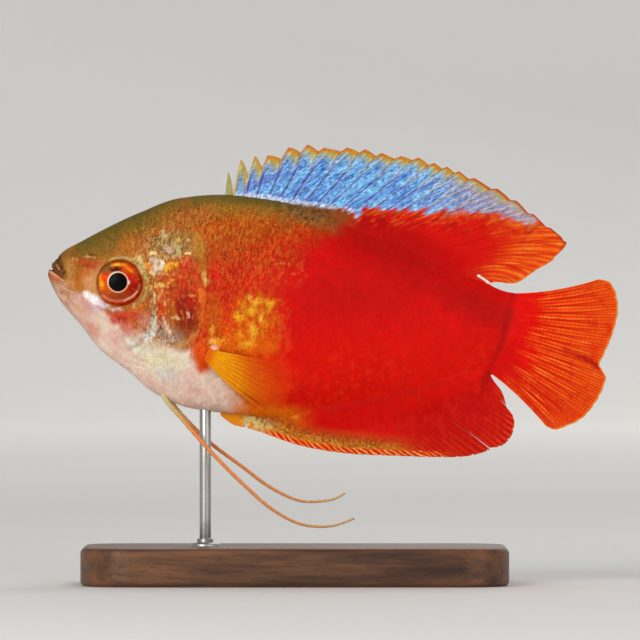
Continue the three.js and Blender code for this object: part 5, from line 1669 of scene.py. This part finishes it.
def eye_pieces():
    """Domed eyes with a dark pupil ringed in cream and one small painted highlight behind it."""
    material = eye_material()
    r = EYE_RADIUS * np.sin(np.linspace(0, np.pi / 2, EYE_RINGS))[1:, None]
    turn = full_turn(EYE_SIDES)[None, :]
    x, z = r * np.cos(turn), r * np.sin(turn)
    to_pupil = np.hypot(x - PUPIL_SHIFT[0], z - PUPIL_SHIFT[1])
    dome = EYE_HALF_DEPTH * np.sqrt(1 - (r / EYE_OVAL) ** 2)
    front = np.stack([EYE[0] + x, -(EYE_MIDDLE_Y + dome) + 0 * x, EYE[1] + z], -1)
    hidden = np.stack([EYE[0] + 0.8 * x[-1:], 0 * x[-1:] + EYE_HIDDEN_Y, EYE[1] + 0.8 * z[-1:]], -1)
    k = eye_paint(front, turn + 0 * x)
    k.lay(0xEEC8A0, near(to_pupil - PUPIL_RING, 0.075) * 0.95)
    k.lay(0xFFF0E2, near(to_pupil - PUPIL_RING, 0.07) * k.oval(-29, 40.6, 1, 0.8, 45, 0.6))
    # A small pale spot behind the pupil: painted highlight.
    k.lay(0xF6DED6, k.oval(-26.78, 39.65, 0.15, 0.24, 0, 0.8) * 0.95)
    k.lay(0x070607, fade(PUPIL_RADIUS - 0.06, PUPIL_RADIUS + 0.04, to_pupil))
    paint = np.concatenate([k.c, k.c[-1:]]).clip(0.0005, 1)
    points = np.concatenate([front, hidden])
    poles = np.array([[EYE[0], -EYE_MIDDLE_Y - EYE_HALF_DEPTH, EYE[1]], [EYE[0], EYE_HIDDEN_Y, EYE[1]]])
    every = np.concatenate([solid(paint).reshape(-1, 4), solid(paint)[[0, -1], 0]])
    left = np.concatenate([points.reshape(-1, 3), poles])
    faces = capped_faces(len(points), EYE_SIDES)
    for side, p in (("left", left), ("right", mirrored(left))):
        piece = mesh_piece(f"eye_{side}_clear", p, faces, material, "eye", paint=every)
        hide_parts("eye_" + side)


# The block's and the rod's sizes in millimetres, and the number of sides of each round shape.
BASE_X, BASE_LENGTH, BASE_WIDTH, BASE_HEIGHT, BASE_CORNER, BASE_BEVEL = -5, 56, 32, 5, 7, 0.7
ROD_X, ROD_RADIUS, ROD_LOW, ROD_HIGH = -16.8, 0.75, 2, 25.7
BASE_SIDES, ROD_SIDES, COLLAR_SIDES = 96, 48, 64


def block_ring(inset, z):
    """A rounded rectangle, drawn in from the block's outline, at one height."""
    radius = BASE_CORNER - inset
    turn = full_turn(BASE_SIDES) + np.pi / BASE_SIDES
    x = radius * np.cos(turn) + np.sign(np.cos(turn)) * (BASE_LENGTH / 2 - BASE_CORNER)
    y = radius * np.sin(turn) + np.sign(np.sin(turn)) * (BASE_WIDTH / 2 - BASE_CORNER)
    return np.stack([BASE_X + x, y, 0 * x + z], -1)


def lathe(outline, sides, x):
    """Rings round an upright axis at x, from [radius, height] pairs, with a pole at each end."""
    turn = full_turn(sides)
    rings = [np.stack([x + r * np.cos(turn), r * np.sin(turn), 0 * turn + z], -1) for r, z in outline]
    poles = np.array([[x, 0, outline[0][1]], [x, 0, outline[-1][1]]])
    return np.concatenate([*rings, poles])


def block_piece():
    """A small wooden block with soft edges, from [inset, height] pairs."""
    bevel = np.linspace(0, np.pi / 2, 7)
    low = [(BASE_BEVEL * (1 - np.sin(a)), BASE_BEVEL * (1 - np.cos(a))) for a in bevel]
    high = [(inset, BASE_HEIGHT - z) for inset, z in low[::-1]]
    foot = [(4, 0), (1.2, 0), (0.8, 0)]
    top = [(inset, BASE_HEIGHT) for inset, _ in foot[::-1]]
    outline = [*foot, *low, (0, 1.1), (0, 3.9), *high, *top]
    poles = np.array([[BASE_X, 0, 0], [BASE_X, 0, BASE_HEIGHT]])
    rings = np.concatenate([block_ring(inset, z) for inset, z in outline])
    block = mesh_piece("stand_block", np.concatenate([rings, poles]),
                       capped_faces(len(outline), BASE_SIDES), wood_material(), "base_wood")
    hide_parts("stand_base")


def rod_pieces():
    """A steel rod from the wood up into the belly, and a collar where it enters the wood."""
    metal = metal_material()
    rod = [(0.6, ROD_LOW), (0.7, ROD_LOW + 0.02), (ROD_RADIUS, ROD_LOW + 0.1), (ROD_RADIUS, 9),
           (ROD_RADIUS, 16), (ROD_RADIUS, ROD_HIGH - 0.1), (0.7, ROD_HIGH - 0.02), (0.6, ROD_HIGH)]
    post = mesh_piece("stand_post", lathe(rod, ROD_SIDES, ROD_X), capped_faces(len(rod), ROD_SIDES), metal,
                      "rod_metal")
    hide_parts("stand_rod")
    collar = [(0.9, 4.6), (1.85, 4.7), (1.9, 4.8), (1.9, 5.22), (1.85, 5.32), (1.7, 5.38), (1.2, 5.42),
              (1.1, 5.5), (1.08, 5.9), (1, 6), (0.85, 6.02)]
    mesh_piece("stand_collar", lathe(collar, COLLAR_SIDES, ROD_X), capped_faces(len(collar), COLLAR_SIDES),
               metal, "rod_metal")


# The floor's flat radius, the radius of the bend that leads up from it, and its wall's height, in mm.
DISH_FLAT, DISH_BEND, DISH_RIM = 1900, 300, 700
DISH_SIDES = 128


def floor_dish():
    """A pale round floor that curves up into a low wall all round, beyond every camera."""
    bend = np.linspace(0, np.pi / 2, 17)[1:]
    flat = np.array([1, 60, 150, 300, 600, 900, 1300, DISH_FLAT])
    r = np.concatenate([flat, DISH_FLAT + DISH_BEND * np.sin(bend), [DISH_FLAT + DISH_BEND]])
    z = np.concatenate([0 * flat, DISH_BEND * (1 - np.cos(bend)), [DISH_RIM]])
    turn = full_turn(DISH_SIDES)[:, None]
    points = np.stack([r * np.cos(turn), r * np.sin(turn), z + 0 * turn], -1).reshape(-1, 3)
    mesh = bpy.data.meshes.new("floor_dish")
    mesh.from_pydata((points * MM).tolist(), [], grid_faces(len(turn), len(r), True).tolist())
    mesh.shade_smooth()
    mesh.materials.append(paper_material())
    placed("floor_dish", mesh)


# The camera's place in metres, its film's width in mm, and the width in metres that it sees at the fish.
CAMERA_SPOT = (-0.00171, -1.2, 0.03474)
FILM_WIDTH = 36
FRAME_WIDTH = 0.0842
# The lamps point at the fish's middle. Each has its place and size in metres, its watts and its colour.
LAMP_TARGET = (0, 0, 0.035)
LAMPS = {
    "key": ((-0.3, -0.5, 0.32), 0.4, 2.05, (1, 0.98, 0.95)),
    "fill": ((0.45, -0.5, 0.12), 0.5, 1.05, (0.95, 0.97, 1)),
    "low": ((-0.35, -0.55, 0.05), 0.3, 0.8, (1, 0.99, 0.97)),
    "rim": ((0.12, 0.22, 0.42), 0.25, 0.5, (1, 1, 1)),
    "back": ((0.5, 1.7, 0.8), 1.2, 4.0, (1, 0.99, 0.97)),
}
ROOM_LIGHT, ROOM_STRENGTH = (0.93, 0.95, 1, 1), 0.28


def lamp(name, spot, size, watts, colour):
    """A square soft light at spot, turned towards the fish."""
    light = bpy.data.lights.new(name, "AREA")
    light.size, light.energy, light.color = size, watts, colour
    holder = placed(name, light)
    holder.location = spot
    holder.rotation_euler = (Vector(LAMP_TARGET) - Vector(spot)).to_track_quat("-Z", "Y").to_euler()


def photo_camera():
    """The camera in the photograph's place."""
    camera = bpy.data.cameras.new("view")
    camera.sensor_width = FILM_WIDTH
    camera.lens = FILM_WIDTH * -CAMERA_SPOT[1] / FRAME_WIDTH
    camera.dof.use_dof = False
    camera.clip_start, camera.clip_end = 0.01, 10
    holder = placed("view", camera)
    holder.location = CAMERA_SPOT
    holder.rotation_euler = (np.pi / 2, 0, 0)
    bpy.context.scene.camera = holder


def soft_room():
    """Soft lamps and a faint even light from all round."""
    for name, settings in LAMPS.items():
        lamp(name, *settings)
    world = bpy.data.worlds.new("soft_room")
    world.use_nodes = True
    room = world.node_tree.nodes["Background"]
    room.inputs["Color"].default_value = ROOM_LIGHT
    room.inputs["Strength"].default_value = ROOM_STRENGTH
    bpy.context.scene.world = world
    bpy.context.scene.view_settings.view_transform = "Standard"


skin_piece = body_skin()
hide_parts("head", "lower_jaw", "gill_cover_left", "gill_cover_right", "trunk", "tail_stalk")
scale_coats()
fin_pieces()
feeler_pieces()
eye_pieces()
block_piece()
rod_pieces()
floor_dish()
photo_camera()
soft_room()
